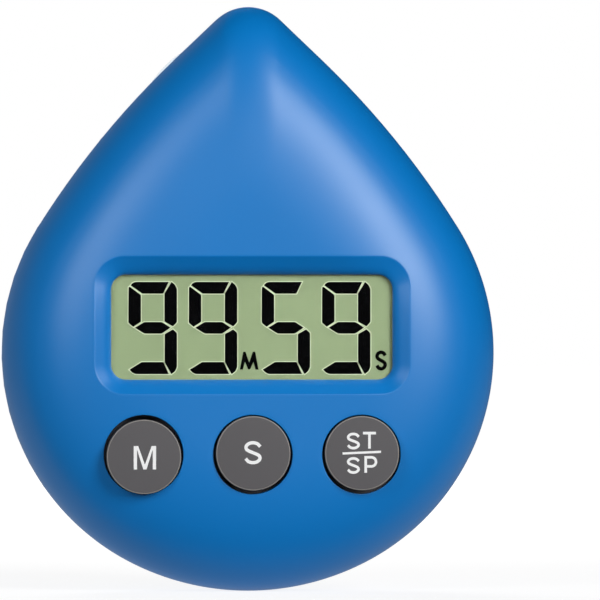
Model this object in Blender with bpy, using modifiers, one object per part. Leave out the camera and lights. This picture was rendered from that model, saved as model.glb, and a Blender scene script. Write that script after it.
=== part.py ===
"""A drop-shaped digital kitchen timer, piece by piece and at its real size.

Lengths are metres and +Z is up. The display faces -Y and the flat back faces +Y. The origin is
the middle of the magnet's outer face, which is what holds the timer on a metal door.

The pieces are drawn in the case's own frame, which an empty stands upright: x runs to the
viewer's right, y runs up from the tip of the drop, and z is the height above the flat back,
towards the viewer of the display. A "drop" is a distance below the tip.
"""

import math

import bmesh
import bpy
import numpy as np
from mathutils import Matrix

# Outline of the case, from its lowest point up one side. Each arc starts in the direction where
# the last one ended, and the headings are degrees from level. A straight flank meets the tip.
BOTTOM_RADIUS = 0.0392
BOTTOM_HEADING = 28.6
SIDE_RADIUS = 0.0359
SIDE_HEADING = 122.0
FLANK_RADIUS = 0.132
FLANK_HEADING = 136.4
TIP_RADIUS = 0.0070
SHARPEST_TIP = 0.0003
ARC_STEP = 6.8

# Case shells
REAR_DEPTH = 0.0080
PARTING_GAP = 0.0002
EDGE_BAND = 0.0016
BORDER_RADIUS = 0.0050
FRONT_WALL = 0.0020
REAR_WALL = 0.0018
DOME_SQUARENESS = 4.5
DOME_STEPS = 9
BORDER_STEPS = 4
LIP_CLEARANCE = 0.00025
LIP_WALL = 0.0009
LIP_HEIGHT = 0.0015
RIB_WALL = 0.0012
WALL_BITE = 0.0009

# Fits between pieces
SEAT_GAP = 0.0001
PLAY_GAP = 0.0002
SLIDE_GAP = 0.0003
OVERSHOOT = 0.0040

# Display window and the stack behind it
BEZEL_WIDTH = 0.0477
BEZEL_HEIGHT = 0.0208
BEZEL_CORNER = 0.0045
BEZEL_DROP = 0.0484
WINDOW_WIDTH = 0.0428
WINDOW_HEIGHT = 0.0161
WINDOW_CORNER = 0.0024
WINDOW_SHIFT = 0.0003
WINDOW_LAND = 0.0003
RECESS_DEPTH = 0.0024
LENS_THICKNESS = 0.0009
GLASS_MARGIN = 0.0012
GLASS_THICKNESS = 0.0008
CONTACT_LEDGE = 0.0020
REFLECTOR_THICKNESS = 0.0002
REFLECTOR_MARGIN = 0.0005
FRAME_WALL = 0.0012
ZEBRA_MARGIN = 0.00125
ZEBRA_DEPTH = 0.0014
ZEBRA_HEIGHT = 0.0024

# Buttons and their switch domes
BUTTON_PITCH = 0.01645
BUTTON_DROP = 0.0682
BUTTON_HOLE_RADIUS = 0.00615
BUTTON_CLEARANCE = 0.0004
BUTTON_SAG = 0.0001
BUTTON_PROUD = 0.0008
BUTTON_WALL = 0.0011
BUTTON_POST_RADIUS = 0.0016
BUTTON_CROWN = 0.0002
BUTTON_EDGE_RADIUS = 0.0007
FLANGE_OVERLAP = 0.0007
FLANGE_THICKNESS = 0.0008
COLLAR_WALL = 0.0016
DOME_HEIGHT = 0.0017
DOME_TOP_RADIUS = 0.0022
DOME_FOOT_RADIUS = 0.0046
DOME_FOOT_WIDTH = 0.0010
DOME_WALL = 0.0005
DOME_TOP_WALL = 0.00075

# Circuit board and what it carries
BOARD_THICKNESS = 0.0012
BOARD_TOP_DROP = 0.0369
BOARD_SHOULDER_DROP = 0.0411
BOARD_WAIST_DROP = 0.0580
BOARD_BOTTOM_DROP = 0.0766
BOARD_TOP_HALF = 0.0262
BOARD_HALF = 0.0302
BOARD_BOTTOM_HALF = 0.0180
BOARD_SCREW_X = 0.0272
BOARD_SCREW_DROP = 0.0430
BOARD_LOWER_SCREW_DROP = 0.0742
BOARD_BOSS_RADIUS = 0.0022
BOARD_SCREW_RADIUS = 0.00085
BOARD_SCREW_HEAD_RADIUS = 0.0016
BOARD_SCREW_HEAD_HEIGHT = 0.0011
BOARD_SCREW_BITE = 0.0024
CHIP_RADIUS = 0.0046
CHIP_HEIGHT = 0.0013
CHIP_X = -0.0080
CRYSTAL_RADIUS = 0.0010
CRYSTAL_LENGTH = 0.0060
CRYSTAL_X = 0.0010
COIL_RADIUS = 0.0026
COIL_HEIGHT = 0.0040
COIL_FLANGE = 0.0008
COIL_X = 0.0120
CAPACITOR_WIDTH = 0.0032
CAPACITOR_DEPTH = 0.0016
CAPACITOR_HEIGHT = 0.0012
CAPACITOR_X = 0.0190
PARTS_ROW_DROP = 0.0416

# Screws that close the case
CASE_SCREW_INSET = 0.0070
CASE_SCREW_UPPER_DROP = 0.0229
CASE_SCREW_LOWER_DROP = 0.0660
CASE_SCREW_RADIUS = 0.0010
CASE_SCREW_LENGTH = 0.0080
CASE_SCREW_HEAD_RADIUS = 0.0021
CASE_SCREW_HEAD_HEIGHT = 0.0016
SCREW_WELL_RADIUS = 0.0024
SCREW_WELL_DEPTH = 0.0040
SCREW_POST_RADIUS = 0.0037
SCREW_BOSS_RADIUS = 0.0030

# Magnet in the back
MAGNET_WIDTH = 0.0466
MAGNET_HEIGHT = 0.0124
MAGNET_THICKNESS = 0.0020
MAGNET_CORNER = 0.0009
MAGNET_DROP = 0.0338
MAGNET_PROUD = 0.0003
TAPE_THICKNESS = 0.0002
TAPE_MARGIN = 0.0010
POCKET_WALL = 0.0012

# Battery, its contacts, bay and door
BATTERY_RADIUS = 0.00525
BATTERY_LENGTH = 0.0445
BATTERY_NUB_RADIUS = 0.0019
BATTERY_NUB_HEIGHT = 0.0010
BATTERY_ROUNDING = 0.0005
BATTERY_PLAY = 0.00035
CONTACT_THICKNESS = 0.0004
CONTACT_WIDTH = 0.0080
CONTACT_DIMPLE = 0.0008
TAB_WIDTH = 0.0030
TAB_REACH = 0.0015
SPRING_RADIUS = 0.0028
SPRING_WIRE = 0.00025
SPRING_LENGTH = 0.0044
SPRING_TURNS = 4
SPRING_STEPS = 10
BAY_WALL = 0.0010
DOOR_DROP = 0.0527
DOOR_WIDTH = 0.0600
DOOR_HEIGHT = 0.0170
DOOR_THICKNESS = 0.0015
DOOR_CORNER = 0.0012
DOOR_SLOT_WIDTH = 0.0413
DOOR_SLOT_HEIGHT = 0.0018
DOOR_SLOT_DEPTH = 0.0009
DOOR_SLOT_EDGE = 0.0029
SHELF_THICKNESS = 0.0013
SHELF_MARGIN = 0.0012
NOTCH_HALF_TOP = 0.0054
NOTCH_HALF_BOTTOM = 0.0031
NOTCH_LENGTH = 0.0032
TONGUE_HALF = 0.0024
TONGUE_LENGTH = 0.0020
HOOK_X = 0.0160
HOOK_WIDTH = 0.0050
HOOK_REACH = 0.0018
HOOK_THICKNESS = 0.0012
HOOK_ROOT = 0.0015

# Sounder and its holes
SOUND_CENTRE_DROP = 0.0535
SOUND_HOLE_RADIUS = 0.0012
SOUND_ROWS = ((0.0236, 3, 26.0, 12.3), (0.0283, 4, 23.0, 10.2))
BUZZER_INSET = 0.0124
BUZZER_HOLE_RADIUS = 0.0018
BUZZER_RADIUS = 0.0075
BUZZER_THICKNESS = 0.0002
CERAMIC_RADIUS = 0.0052
BUZZER_RING_WALL = 0.0015
BUZZER_RING_HEIGHT = 0.0033

# Suction cup and its keyhole
CUP_NECK_DROP = 0.0097
CUP_REST_DROP = 0.0203
CUP_RADIUS = 0.01675
CUP_NECK_RADIUS = 0.0021
CUP_HEAD_RADIUS = 0.0047
CUP_HEAD_HEIGHT = 0.0027
CUP_STANDOFF = 0.0024
CUP_DEPTH = 0.0064
CUP_RIM_WIDTH = 0.0008
CUP_WALL = 0.0011
CUP_SAMPLES = 6
KEYHOLE_GAP = 0.0004
KEYHOLE_SPREAD = 62.0
KEYHOLE_PLATE = 0.0017
KEYHOLE_WALL_HEIGHT = 0.0068

# The cup's mushroom head, as shares of its radius and of its height down from the top, and how
# fast the two sides of its dish fall away: the powers of the distance from the axis
CUP_HEAD_SHAPE = ((0.0, 0.0), (0.5, 0.08), (0.85, 0.35), (1.0, 0.7), (1.0, 1.0))
CUP_BACK_POWER = 1.8
CUP_HOLLOW_POWER = 1.9

# Leads inside the case. A route is given as shares of its bow outwards, of its rise towards the
# tip and of its climb to the board.
LEAD_RADIUS = 0.00045
LEAD_END_GAP = 0.0002
LEAD_SAMPLES = 4
BATTERY_LEAD_BOW = 0.0015
BATTERY_LEAD_RISE = 0.0020
BATTERY_LEAD_ROUTE = (
    (0.0, 0.0, 0.0),
    (0.6, 0.1, 0.03),
    (1.0, 0.5, 0.26),
    (0.4, 0.9, 0.54),
    (0.13, 1.0, 0.74),
    (0.13, 1.0, 1.0),
)
SOLDER_X = 0.0025
SOUNDER_LEAD_BOW = 0.0017
SOUNDER_LEAD_RISE = 0.0055
SOUNDER_LEAD_ROUTE = (
    (0.0, 0.0, 0.0),
    (0.0, 0.0, 0.1),
    (0.35, 0.15, 0.31),
    (1.0, 0.62, 0.57),
    (0.9, 0.94, 0.81),
    (0.76, 1.0, 0.9),
    (0.76, 1.0, 1.0),
)

# Heights above the flat back, built up from the door to the crown of the face
DOOR_INNER = DOOR_THICKNESS
BATTERY_AXIS = DOOR_INNER + BATTERY_PLAY + BATTERY_RADIUS
BAY_RADIUS = BATTERY_RADIUS + BATTERY_PLAY
BAY_FRONT = BATTERY_AXIS + BAY_RADIUS + BAY_WALL
BOARD_BACK = BAY_FRONT + SLIDE_GAP
BOARD_FRONT = BOARD_BACK + BOARD_THICKNESS
ZEBRA_BASE = BOARD_FRONT + SEAT_GAP
FRONT_GLASS_BACK = ZEBRA_BASE + ZEBRA_HEIGHT + SEAT_GAP
REAR_GLASS_BACK = FRONT_GLASS_BACK - SEAT_GAP - GLASS_THICKNESS
REFLECTOR_BACK = REAR_GLASS_BACK - SEAT_GAP - REFLECTOR_THICKNESS
LENS_BACK = FRONT_GLASS_BACK + GLASS_THICKNESS + SEAT_GAP
LENS_FRONT = LENS_BACK + LENS_THICKNESS
WINDOW_SEAT = LENS_FRONT + PLAY_GAP
FACE_HEIGHT = WINDOW_SEAT + RECESS_DEPTH
DOME_BASE = REAR_DEPTH + EDGE_BAND
SWITCH_BASE = BOARD_FRONT + SEAT_GAP
FLANGE_BACK = SWITCH_BASE + DOME_HEIGHT + PLAY_GAP
FLANGE_FRONT = FLANGE_BACK + FLANGE_THICKNESS
COLLAR_END = FLANGE_FRONT + SLIDE_GAP
REBATE_DEPTH = DOOR_THICKNESS + PLAY_GAP
SHELF_TOP = REBATE_DEPTH + SHELF_THICKNESS
MAGNET_FLOOR = MAGNET_THICKNESS - MAGNET_PROUD + TAPE_THICKNESS + 2 * SEAT_GAP

# Lengths along the battery bay
BAY_HALF = (BATTERY_LENGTH + SPRING_LENGTH + CONTACT_DIMPLE + 2 * CONTACT_THICKNESS + 5 * PLAY_GAP) / 2
CONTACT_X = BAY_HALF - PLAY_GAP - CONTACT_THICKNESS
BATTERY_END = CONTACT_X - CONTACT_DIMPLE - PLAY_GAP

# The display sits a little low in its bezel, and its glass reaches above it for the contacts
WINDOW_DROP = BEZEL_DROP + WINDOW_SHIFT
GLASS_WIDTH = WINDOW_WIDTH + 2 * GLASS_MARGIN
ZEBRA_WIDTH = GLASS_WIDTH - 2 * ZEBRA_MARGIN
GLASS_HEIGHT = WINDOW_HEIGHT + 2 * GLASS_MARGIN + CONTACT_LEDGE
GLASS_DROP = WINDOW_DROP - CONTACT_LEDGE / 2

BLUE_ABS = ("blue_abs", (0.010, 0.120, 0.440), 0.42, 0.0)
GREY_ABS = ("grey_abs", (0.103, 0.101, 0.105), 0.45, 0.0)
CLEAR_ACRYLIC = ("clear_acrylic", (0.85, 0.88, 0.86), 0.05, 0.0)
DISPLAY_GLASS = ("display_glass", (0.35, 0.40, 0.29), 0.08, 0.0)
REFLECTOR_FILM = ("reflector_film", (0.31, 0.40, 0.22), 0.35, 0.0)
ZEBRA_RUBBER = ("zebra_rubber", (0.62, 0.30, 0.30), 0.60, 0.0)
BOARD_LAMINATE = ("board_laminate", (0.05, 0.22, 0.08), 0.45, 0.0)
EPOXY = ("chip_epoxy", (0.015, 0.015, 0.015), 0.35, 0.0)
STEEL = ("plated_steel", (0.60, 0.60, 0.58), 0.28, 1.0)
BRASS = ("buzzer_brass", (0.75, 0.55, 0.22), 0.30, 1.0)
CERAMIC = ("buzzer_ceramic", (0.78, 0.74, 0.66), 0.40, 0.0)
SWITCH_SILICONE = ("switch_silicone", (0.55, 0.55, 0.53), 0.55, 0.0)
CHIP_TAN = ("capacitor_body", (0.50, 0.33, 0.18), 0.50, 0.0)
COIL_BLACK = ("coil_ferrite", (0.03, 0.03, 0.035), 0.55, 0.0)
BATTERY_SLEEVE = ("battery_sleeve", (0.10, 0.12, 0.15), 0.30, 0.0)
MAGNET_FERRITE = ("magnet_ferrite", (0.045, 0.040, 0.040), 0.65, 0.0)
TAPE_FOAM = ("tape_foam", (0.80, 0.78, 0.72), 0.80, 0.0)
CLEAR_PVC = ("clear_pvc", (0.78, 0.86, 0.92), 0.12, 0.0)
LEAD_RED = ("lead_red", (0.55, 0.02, 0.02), 0.45, 0.0)
LEAD_BLACK = ("lead_black", (0.02, 0.02, 0.02), 0.45, 0.0)


# Outlines and heights


def half_outline(inset):
    """One side of the drop from its lowest point to its tip, moved inwards by inset."""
    x, y, heading = 0.0, inset, 0.0
    points = [(x, y)]
    arcs = (
        (BOTTOM_RADIUS, BOTTOM_HEADING),
        (SIDE_RADIUS, SIDE_HEADING),
        (FLANK_RADIUS, FLANK_HEADING),
    )
    for case_radius, end in arcs:
        radius = case_radius - inset
        centre_x = x - radius * math.sin(math.radians(heading))
        centre_y = y + radius * math.cos(math.radians(heading))
        steps = max(2, round((end - heading) / ARC_STEP))
        for k in range(1, steps + 1):
            turned = math.radians(heading + (end - heading) * k / steps)
            points.append((centre_x + radius * math.sin(turned), centre_y - radius * math.cos(turned)))
        x, y = points[-1]
        heading = end
    radius = max(TIP_RADIUS - inset, SHARPEST_TIP)
    slope = math.radians(heading)
    flank_length = (x - radius * math.sin(slope)) / -math.cos(slope)
    centre_y = y + flank_length * math.sin(slope) + radius * math.cos(slope)
    steps = max(2, round((180 - heading) / ARC_STEP))
    for k in range(steps + 1):
        turned = math.radians(heading + (180 - heading) * k / steps)
        points.append((radius * math.sin(turned), centre_y - radius * math.cos(turned)))
    return points


CASE_HEIGHT = half_outline(0.0)[-1][1]
SIDE_CENTRE_LIFT = BOTTOM_RADIUS - (BOTTOM_RADIUS - SIDE_RADIUS) * math.cos(math.radians(BOTTOM_HEADING))
CENTRE_Y = SIDE_CENTRE_LIFT - CASE_HEIGHT
BUZZER_DROP = CASE_HEIGHT - BUZZER_INSET


def drop_outline(inset=0.0, share=1.0):
    """The whole drop, counter-clockwise, moved inwards by inset and scaled about its widest level."""
    side = half_outline(inset)
    loop = side[:-1] + [(0.0, side[-1][1])] + [(-x, y) for x, y in side[-2:0:-1]]
    return [(x * share, CENTRE_Y + (y - CASE_HEIGHT - CENTRE_Y) * share) for x, y in loop]


def half_width(inset, drop):
    """How far the outline, moved inwards by inset, reaches to either side at a drop."""
    side = half_outline(inset)
    return float(np.interp(CASE_HEIGHT - drop, [y for _, y in side], [x for x, _ in side]))


def dome_share(x, y):
    """The scale at which the outline passes through a point, 0 in the middle and 1 at the edge."""
    loop = np.array(drop_outline()) - (0.0, CENTRE_Y)
    along = np.roll(loop, -1, axis=0) - loop
    outwards = np.column_stack((along[:, 1], -along[:, 0]))
    reach = np.einsum("ij,ij->i", outwards, loop)
    return float(np.max(outwards @ np.array((x, y - CENTRE_Y)) / reach))


def crown_share(angle):
    """How high the face stands at an angle of its superellipse, from 0 at the edge to 1 on top."""
    flattest = math.cos(math.radians(90 / DOME_STEPS))
    return min(1.0, math.cos(angle) / flattest)


def face_height(x, y):
    """Height of the domed face above the flat back."""
    share = min(1.0, dome_share(x, y))
    angle = math.asin(share ** (DOME_SQUARENESS / 2))
    return DOME_BASE + (FACE_HEIGHT - DOME_BASE) * crown_share(angle)


def dome_rings(inset, base, crown):
    """Rings of a straight band that goes over into a squarish dome."""
    rings = [[(x, y, base) for x, y in drop_outline(inset)]]
    for k in range(DOME_STEPS):
        angle = math.radians(90 * (1 - k / DOME_STEPS))
        share = math.sin(angle) ** (2 / DOME_SQUARENESS)
        height = DOME_BASE + (crown - DOME_BASE) * crown_share(angle)
        rings.append([(x, y, height) for x, y in drop_outline(inset, share)])
    return rings


def border_rings(inset, floor):
    """Rings from the straight band of the rear cover round its border to its flat back."""
    top = REAR_DEPTH - EDGE_BAND
    rings = []
    for k in range(BORDER_STEPS + 1):
        angle = math.radians(90 * k / BORDER_STEPS)
        step_in = inset + (BORDER_RADIUS - inset) * (1 - math.cos(angle))
        height = top - (top - floor) * math.sin(angle)
        rings.append([(x, y, height) for x, y in drop_outline(step_in)])
    return rings


def rounded_rectangle(width, height, corner, y_centre, steps=5):
    """Corner arcs of a rectangle centred on x = 0, counter-clockwise."""
    half_x = width / 2 - corner
    half_y = height / 2 - corner
    points = []
    for quarter, (right, up) in enumerate(((1, 1), (-1, 1), (-1, -1), (1, -1))):
        for k in range(steps + 1):
            angle = math.radians(90 * quarter + 90 * k / steps)
            x = right * half_x + corner * math.cos(angle)
            y = up * half_y + corner * math.sin(angle)
            points.append((x, y_centre + y))
    return points


def circle(radius, x, y, sides):
    """Points round a circle."""
    turns = [2 * math.pi * k / sides for k in range(sides)]
    return [(x + radius * math.cos(a), y + radius * math.sin(a)) for a in turns]


def stadium(radius, x, y_low, y_high, steps=8):
    """A slot with round ends, along y."""
    upper = [math.pi * k / steps for k in range(steps + 1)]
    top = [(x + radius * math.cos(a), y_high + radius * math.sin(a)) for a in upper]
    bottom = [(x - radius * math.cos(a), y_low - radius * math.sin(a)) for a in upper]
    return top + bottom


# Scene, materials and the ways of making a solid


def fresh_scene():
    """An empty scene with a collection for the pieces, one for the cutters, and the case's frame."""
    for obj in list(bpy.data.objects):
        bpy.data.objects.remove(obj)
    pieces = bpy.data.collections.new("kitchen_timer")
    cutters = bpy.data.collections.new("cutters")
    for group in (pieces, cutters):
        bpy.context.scene.collection.children.link(group)
    frame = bpy.data.objects.new("case_frame", None)
    frame.location = (0, -MAGNET_PROUD, MAGNET_DROP)
    frame.rotation_euler = (math.radians(90), 0, 0)
    pieces.objects.link(frame)
    return pieces, cutters, frame


PIECES, CUTTERS, CASE_FRAME = fresh_scene()


def material(name, colour, roughness, metallic):
    """A plain surface, made once for each name."""
    made = bpy.data.materials.get(name)
    if made is None:
        made = bpy.data.materials.new(name)
        made.use_nodes = True
        shader = made.node_tree.nodes["Principled BSDF"]
        shader.inputs["Base Color"].default_value = (*colour, 1.0)
        shader.inputs["Roughness"].default_value = roughness
        shader.inputs["Metallic"].default_value = metallic
    return made


def place(name, mesh, finish=None, location=(0, 0, 0), rotation=(0, 0, 0)):
    """A mesh as an object in the case's frame: a piece if it has a finish, else a cutter."""
    obj = bpy.data.objects.new(name, mesh)
    if finish:
        PIECES.objects.link(obj)
        mesh.materials.append(material(*finish))
    else:
        CUTTERS.objects.link(obj)
        obj.hide_render = True
        obj.display_type = "WIRE"
    obj.parent = CASE_FRAME
    obj.location = location
    obj.rotation_euler = rotation
    return obj


def mesh_from(name, bm, smooth=False):
    """A finished mesh from a bmesh, its normals outwards."""
    bmesh.ops.recalc_face_normals(bm, faces=bm.faces)
    mesh = bpy.data.meshes.new(name)
    bm.to_mesh(mesh)
    bm.free()
    if smooth:
        mesh.shade_smooth()
        mesh.set_sharp_from_angle(angle=math.radians(35))
    return mesh


def loft(name, rings, finish=None, smooth=False):
    """A closed solid through rings of as many points each, capped at both ends."""
    bm = bmesh.new()
    loops = [[bm.verts.new(point) for point in ring] for ring in rings]
    count = len(loops[0])
    for lower, upper in zip(loops, loops[1:]):
        for i in range(count):
            j = (i + 1) % count
            bm.faces.new((lower[i], lower[j], upper[j], upper[i]))
    bm.faces.new(loops[0][::-1])
    bm.faces.new(loops[-1])
    return place(name, mesh_from(name, bm, smooth), finish)


def turned(name, profile, finish=None, sides=32, location=(0, 0, 0), rotation=(0, 0, 0)):
    """A profile of (radius, height), run down its outer side, turned about z."""
    mesh = bpy.data.meshes.new(name)
    mesh.from_pydata([(r, 0, z) for r, z in profile], [(i, i + 1) for i in range(len(profile) - 1)], [])
    obj = place(name, mesh, finish, location, rotation)
    screw = obj.modifiers.new("turn", "SCREW")
    screw.steps = sides
    screw.render_steps = sides
    screw.use_merge_vertices = True
    screw.merge_threshold = 0.00001
    screw.use_smooth_shade = True
    return obj


def block(name, low, high, finish=None):
    """A box between two corners of the case's frame."""
    size = [b - a for a, b in zip(low, high)]
    bm = bmesh.new()
    bmesh.ops.create_cube(bm, size=1.0)
    bmesh.ops.scale(bm, vec=size, verts=bm.verts)
    centre = [(a + b) / 2 for a, b in zip(low, high)]
    return place(name, mesh_from(name, bm), finish, centre)


def rods(name, radius, spots, low, high, finish=None, sides=24):
    """Upright round bars through a list of (x, drop) spots, as one mesh."""
    bm = bmesh.new()
    for x, drop in spots:
        made = bmesh.ops.create_cone(
            bm, cap_ends=True, segments=sides, radius1=radius, radius2=radius, depth=high - low
        )
        bmesh.ops.translate(bm, verts=made["verts"], vec=(x, -drop, (low + high) / 2))
    return place(name, mesh_from(name, bm), finish)


def mesh_of_curve(curve_object):
    """The mesh of a curve object, with its caps welded on, and the curve gone."""
    bpy.context.view_layer.update()
    evaluated = curve_object.evaluated_get(bpy.context.evaluated_depsgraph_get())
    mesh = bpy.data.meshes.new_from_object(evaluated)
    bpy.data.objects.remove(curve_object)
    bm = bmesh.new()
    bm.from_mesh(mesh)
    bmesh.ops.remove_doubles(bm, verts=bm.verts, dist=0.000001)
    bmesh.ops.recalc_face_normals(bm, faces=bm.faces)
    bm.to_mesh(mesh)
    bm.free()
    mesh.materials.clear()
    return mesh


def plate(name, loops, low, high, finish=None, location=(0, 0, 0), rotation=(0, 0, 0)):
    """Flat outlines, holes included, extruded between two heights."""
    curve = bpy.data.curves.new(name, "CURVE")
    curve.dimensions = "2D"
    curve.fill_mode = "BOTH"
    curve.extrude = (high - low) / 2
    for loop in loops:
        spline = curve.splines.new("POLY")
        spline.points.add(len(loop) - 1)
        for point, (x, y) in zip(spline.points, loop):
            point.co = (x, y, 0, 1)
        spline.use_cyclic_u = True
    drawn = bpy.data.objects.new(name + "_curve", curve)
    CUTTERS.objects.link(drawn)
    mesh = mesh_of_curve(drawn)
    mesh.transform(Matrix.Translation((0, 0, (low + high) / 2)))
    return place(name, mesh, finish, location, rotation)


def tube(name, points, radius, finish):
    """A wire along a list of points, with its ends closed."""
    curve = bpy.data.curves.new(name, "CURVE")
    curve.dimensions = "3D"
    curve.bevel_depth = radius
    curve.bevel_resolution = 1
    curve.use_fill_caps = True
    spline = curve.splines.new("POLY")
    spline.points.add(len(points) - 1)
    for point, place_at in zip(spline.points, points):
        point.co = (*place_at, 1)
    drawn = bpy.data.objects.new(name + "_curve", curve)
    CUTTERS.objects.link(drawn)
    mesh = mesh_of_curve(drawn)
    mesh.shade_smooth()
    return place(name, mesh, finish)


def smooth_route(knots):
    """Points along a smooth curve through the knots (Catmull and Rom's spline)."""
    inner = [np.array(knot) for knot in knots]
    guides = [2 * inner[0] - inner[1], *inner, 2 * inner[-1] - inner[-2]]
    points = []
    for a, b, c, d in zip(guides, inner, inner[1:], guides[3:]):
        for k in range(LEAD_SAMPLES):
            t = k / LEAD_SAMPLES
            bend = (2 * a - 5 * b + 4 * c - d) * t * t + (3 * b - a - 3 * c + d) * t**3
            points.append((2 * b + (c - a) * t + bend) / 2)
    return [tuple(p) for p in points] + [tuple(knots[-1])]


def cut(target, *tools):
    """Takes each tool away from the target."""
    for tool in tools:
        carve(target, tool, "DIFFERENCE")


def join(target, *tools):
    """Makes each tool one body with the target."""
    for tool in tools:
        carve(target, tool, "UNION")


def carve(target, tool, operation):
    """One Boolean modifier."""
    modifier = target.modifiers.new(tool.name, "BOOLEAN")
    modifier.operation = operation
    modifier.solver = "EXACT"
    modifier.object = tool


# Places that several pieces share

BUTTONS = (("minute", -BUTTON_PITCH), ("second", 0.0), ("start_stop", BUTTON_PITCH))
CASE_SCREWS = [
    (side * half_width(CASE_SCREW_INSET, drop), drop)
    for drop in (CASE_SCREW_UPPER_DROP, CASE_SCREW_LOWER_DROP)
    for side in (-1, 1)
]
BOARD_SCREWS = [(side * BOARD_SCREW_X, BOARD_SCREW_DROP) for side in (-1, 1)] + [
    (side * BUTTON_PITCH / 2, BOARD_LOWER_SCREW_DROP) for side in (-1, 1)
]
DOOR_TOP_DROP = DOOR_DROP - DOOR_HEIGHT / 2
DOOR_BOTTOM_DROP = DOOR_DROP + DOOR_HEIGHT / 2


# Front housing


def display_recess():
    """The sloping recess round the window, whose outer edge follows the domed face."""
    window = rounded_rectangle(WINDOW_WIDTH, WINDOW_HEIGHT, WINDOW_CORNER, -WINDOW_DROP)
    bezel = rounded_rectangle(BEZEL_WIDTH, BEZEL_HEIGHT, BEZEL_CORNER, -BEZEL_DROP)
    return loft(
        "display_recess",
        [
            [(x, y, LENS_BACK) for x, y in window],
            [(x, y, WINDOW_SEAT + WINDOW_LAND) for x, y in window],
            [(x, y, face_height(x, y)) for x, y in bezel],
            [(x, y, FACE_HEIGHT + OVERSHOOT) for x, y in bezel],
        ],
    )


def front_features():
    """What stands inside the front housing, as solids that the hollow goes round."""
    above = FACE_HEIGHT + OVERSHOOT
    frame_margin = 2 * (SLIDE_GAP + FRAME_WALL)
    frame = rounded_rectangle(
        GLASS_WIDTH + frame_margin, GLASS_HEIGHT + frame_margin, FRAME_WALL, -GLASS_DROP
    )
    frame_top_drop = GLASS_DROP - GLASS_HEIGHT / 2 - SLIDE_GAP - FRAME_WALL / 2
    return (
        plate("display_frame", [frame], BOARD_FRONT + SLIDE_GAP, above),
        rods(
            "button_collars",
            BUTTON_HOLE_RADIUS + COLLAR_WALL,
            [(x, BUTTON_DROP) for _, x in BUTTONS],
            COLLAR_END,
            above,
            sides=40,
        ),
        rods("case_bosses", SCREW_BOSS_RADIUS, CASE_SCREWS, REAR_DEPTH + SEAT_GAP, above),
        rods("board_bosses", BOARD_BOSS_RADIUS, BOARD_SCREWS, BOARD_FRONT + SEAT_GAP, above, sides=20),
        block(
            "tip_rib",
            (-RIB_WALL / 2, -frame_top_drop, DOME_BASE + LIP_HEIGHT),
            (RIB_WALL / 2, -TIP_RADIUS, above),
        ),
    )


def front_housing():
    """The domed front shell, with its window, button holes, frame, collars and bosses."""
    body = loft("front_housing", dome_rings(0.0, REAR_DEPTH, FACE_HEIGHT), BLUE_ABS, smooth=True)
    inside = dome_rings(FRONT_WALL, REAR_DEPTH - OVERSHOOT, FACE_HEIGHT - FRONT_WALL)
    hollow = loft("front_hollow", inside)
    cut(hollow, *front_features())
    pocket = rounded_rectangle(
        GLASS_WIDTH + 2 * SLIDE_GAP, GLASS_HEIGHT + 2 * SLIDE_GAP, SLIDE_GAP, -GLASS_DROP
    )
    pilot_top = SCREW_WELL_DEPTH + CASE_SCREW_LENGTH + SLIDE_GAP
    cut(
        body,
        hollow,
        plate("display_pocket", [pocket], BOARD_FRONT, WINDOW_SEAT),
        display_recess(),
        rods(
            "button_holes",
            BUTTON_HOLE_RADIUS,
            [(x, BUTTON_DROP) for _, x in BUTTONS],
            COLLAR_END - OVERSHOOT,
            FACE_HEIGHT + OVERSHOOT,
            sides=48,
        ),
        rods(
            "flange_rooms",
            BUTTON_HOLE_RADIUS + FLANGE_OVERLAP + SLIDE_GAP,
            [(x, BUTTON_DROP) for _, x in BUTTONS],
            SWITCH_BASE,
            COLLAR_END,
            sides=40,
        ),
        rods(
            "case_pilots",
            CASE_SCREW_RADIUS + PLAY_GAP,
            CASE_SCREWS,
            REAR_DEPTH - OVERSHOOT,
            pilot_top,
            sides=12,
        ),
        rods(
            "board_pilots",
            BOARD_SCREW_RADIUS + PLAY_GAP,
            BOARD_SCREWS,
            BOARD_BACK,
            BOARD_FRONT + BOARD_SCREW_BITE + SLIDE_GAP,
            sides=12,
        ),
    )


# Rear cover


def keyhole_outline():
    """Round end, tapering shoulders and narrow neck of the hole for the suction cup's head."""
    round_radius = CUP_HEAD_RADIUS + KEYHOLE_GAP
    neck_radius = CUP_NECK_RADIUS + KEYHOLE_GAP
    spread = math.radians(KEYHOLE_SPREAD)
    shoulder = [spread + (2 * math.pi - 2 * spread) * k / 16 for k in range(17)]
    round_end = [
        (round_radius * math.sin(a), -CUP_REST_DROP + round_radius * math.cos(a)) for a in shoulder
    ]
    neck = [math.pi * k / 8 for k in range(9)]
    neck_end = [(-neck_radius * math.cos(a), -CUP_NECK_DROP + neck_radius * math.sin(a)) for a in neck]
    return round_end + neck_end


def trough(name, radius, half_length, top):
    """A channel along x whose far side is half round, as wide as the round, up to a height."""
    arc = [math.pi * k / 12 for k in range(13)]
    section = [(-radius * math.cos(a), BATTERY_AXIS + radius * math.sin(a)) for a in arc]
    section += [(radius, top), (-radius, top)]
    upright = (math.radians(90), 0, math.radians(90))
    return plate(name, [section], -half_length, half_length, None, (0, -DOOR_DROP, 0), upright)


def notch_outline(margin, length_margin):
    """The finger notch under the door, which narrows downwards."""
    half_top = NOTCH_HALF_TOP + margin
    half_bottom = NOTCH_HALF_BOTTOM + margin
    top = -DOOR_BOTTOM_DROP + OVERSHOOT / 2
    bottom = -DOOR_BOTTOM_DROP - NOTCH_LENGTH - length_margin
    side = [(half_bottom, bottom), (half_top, -DOOR_BOTTOM_DROP), (half_top, top)]
    return side + [(-x, y) for x, y in side[::-1]]


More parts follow.
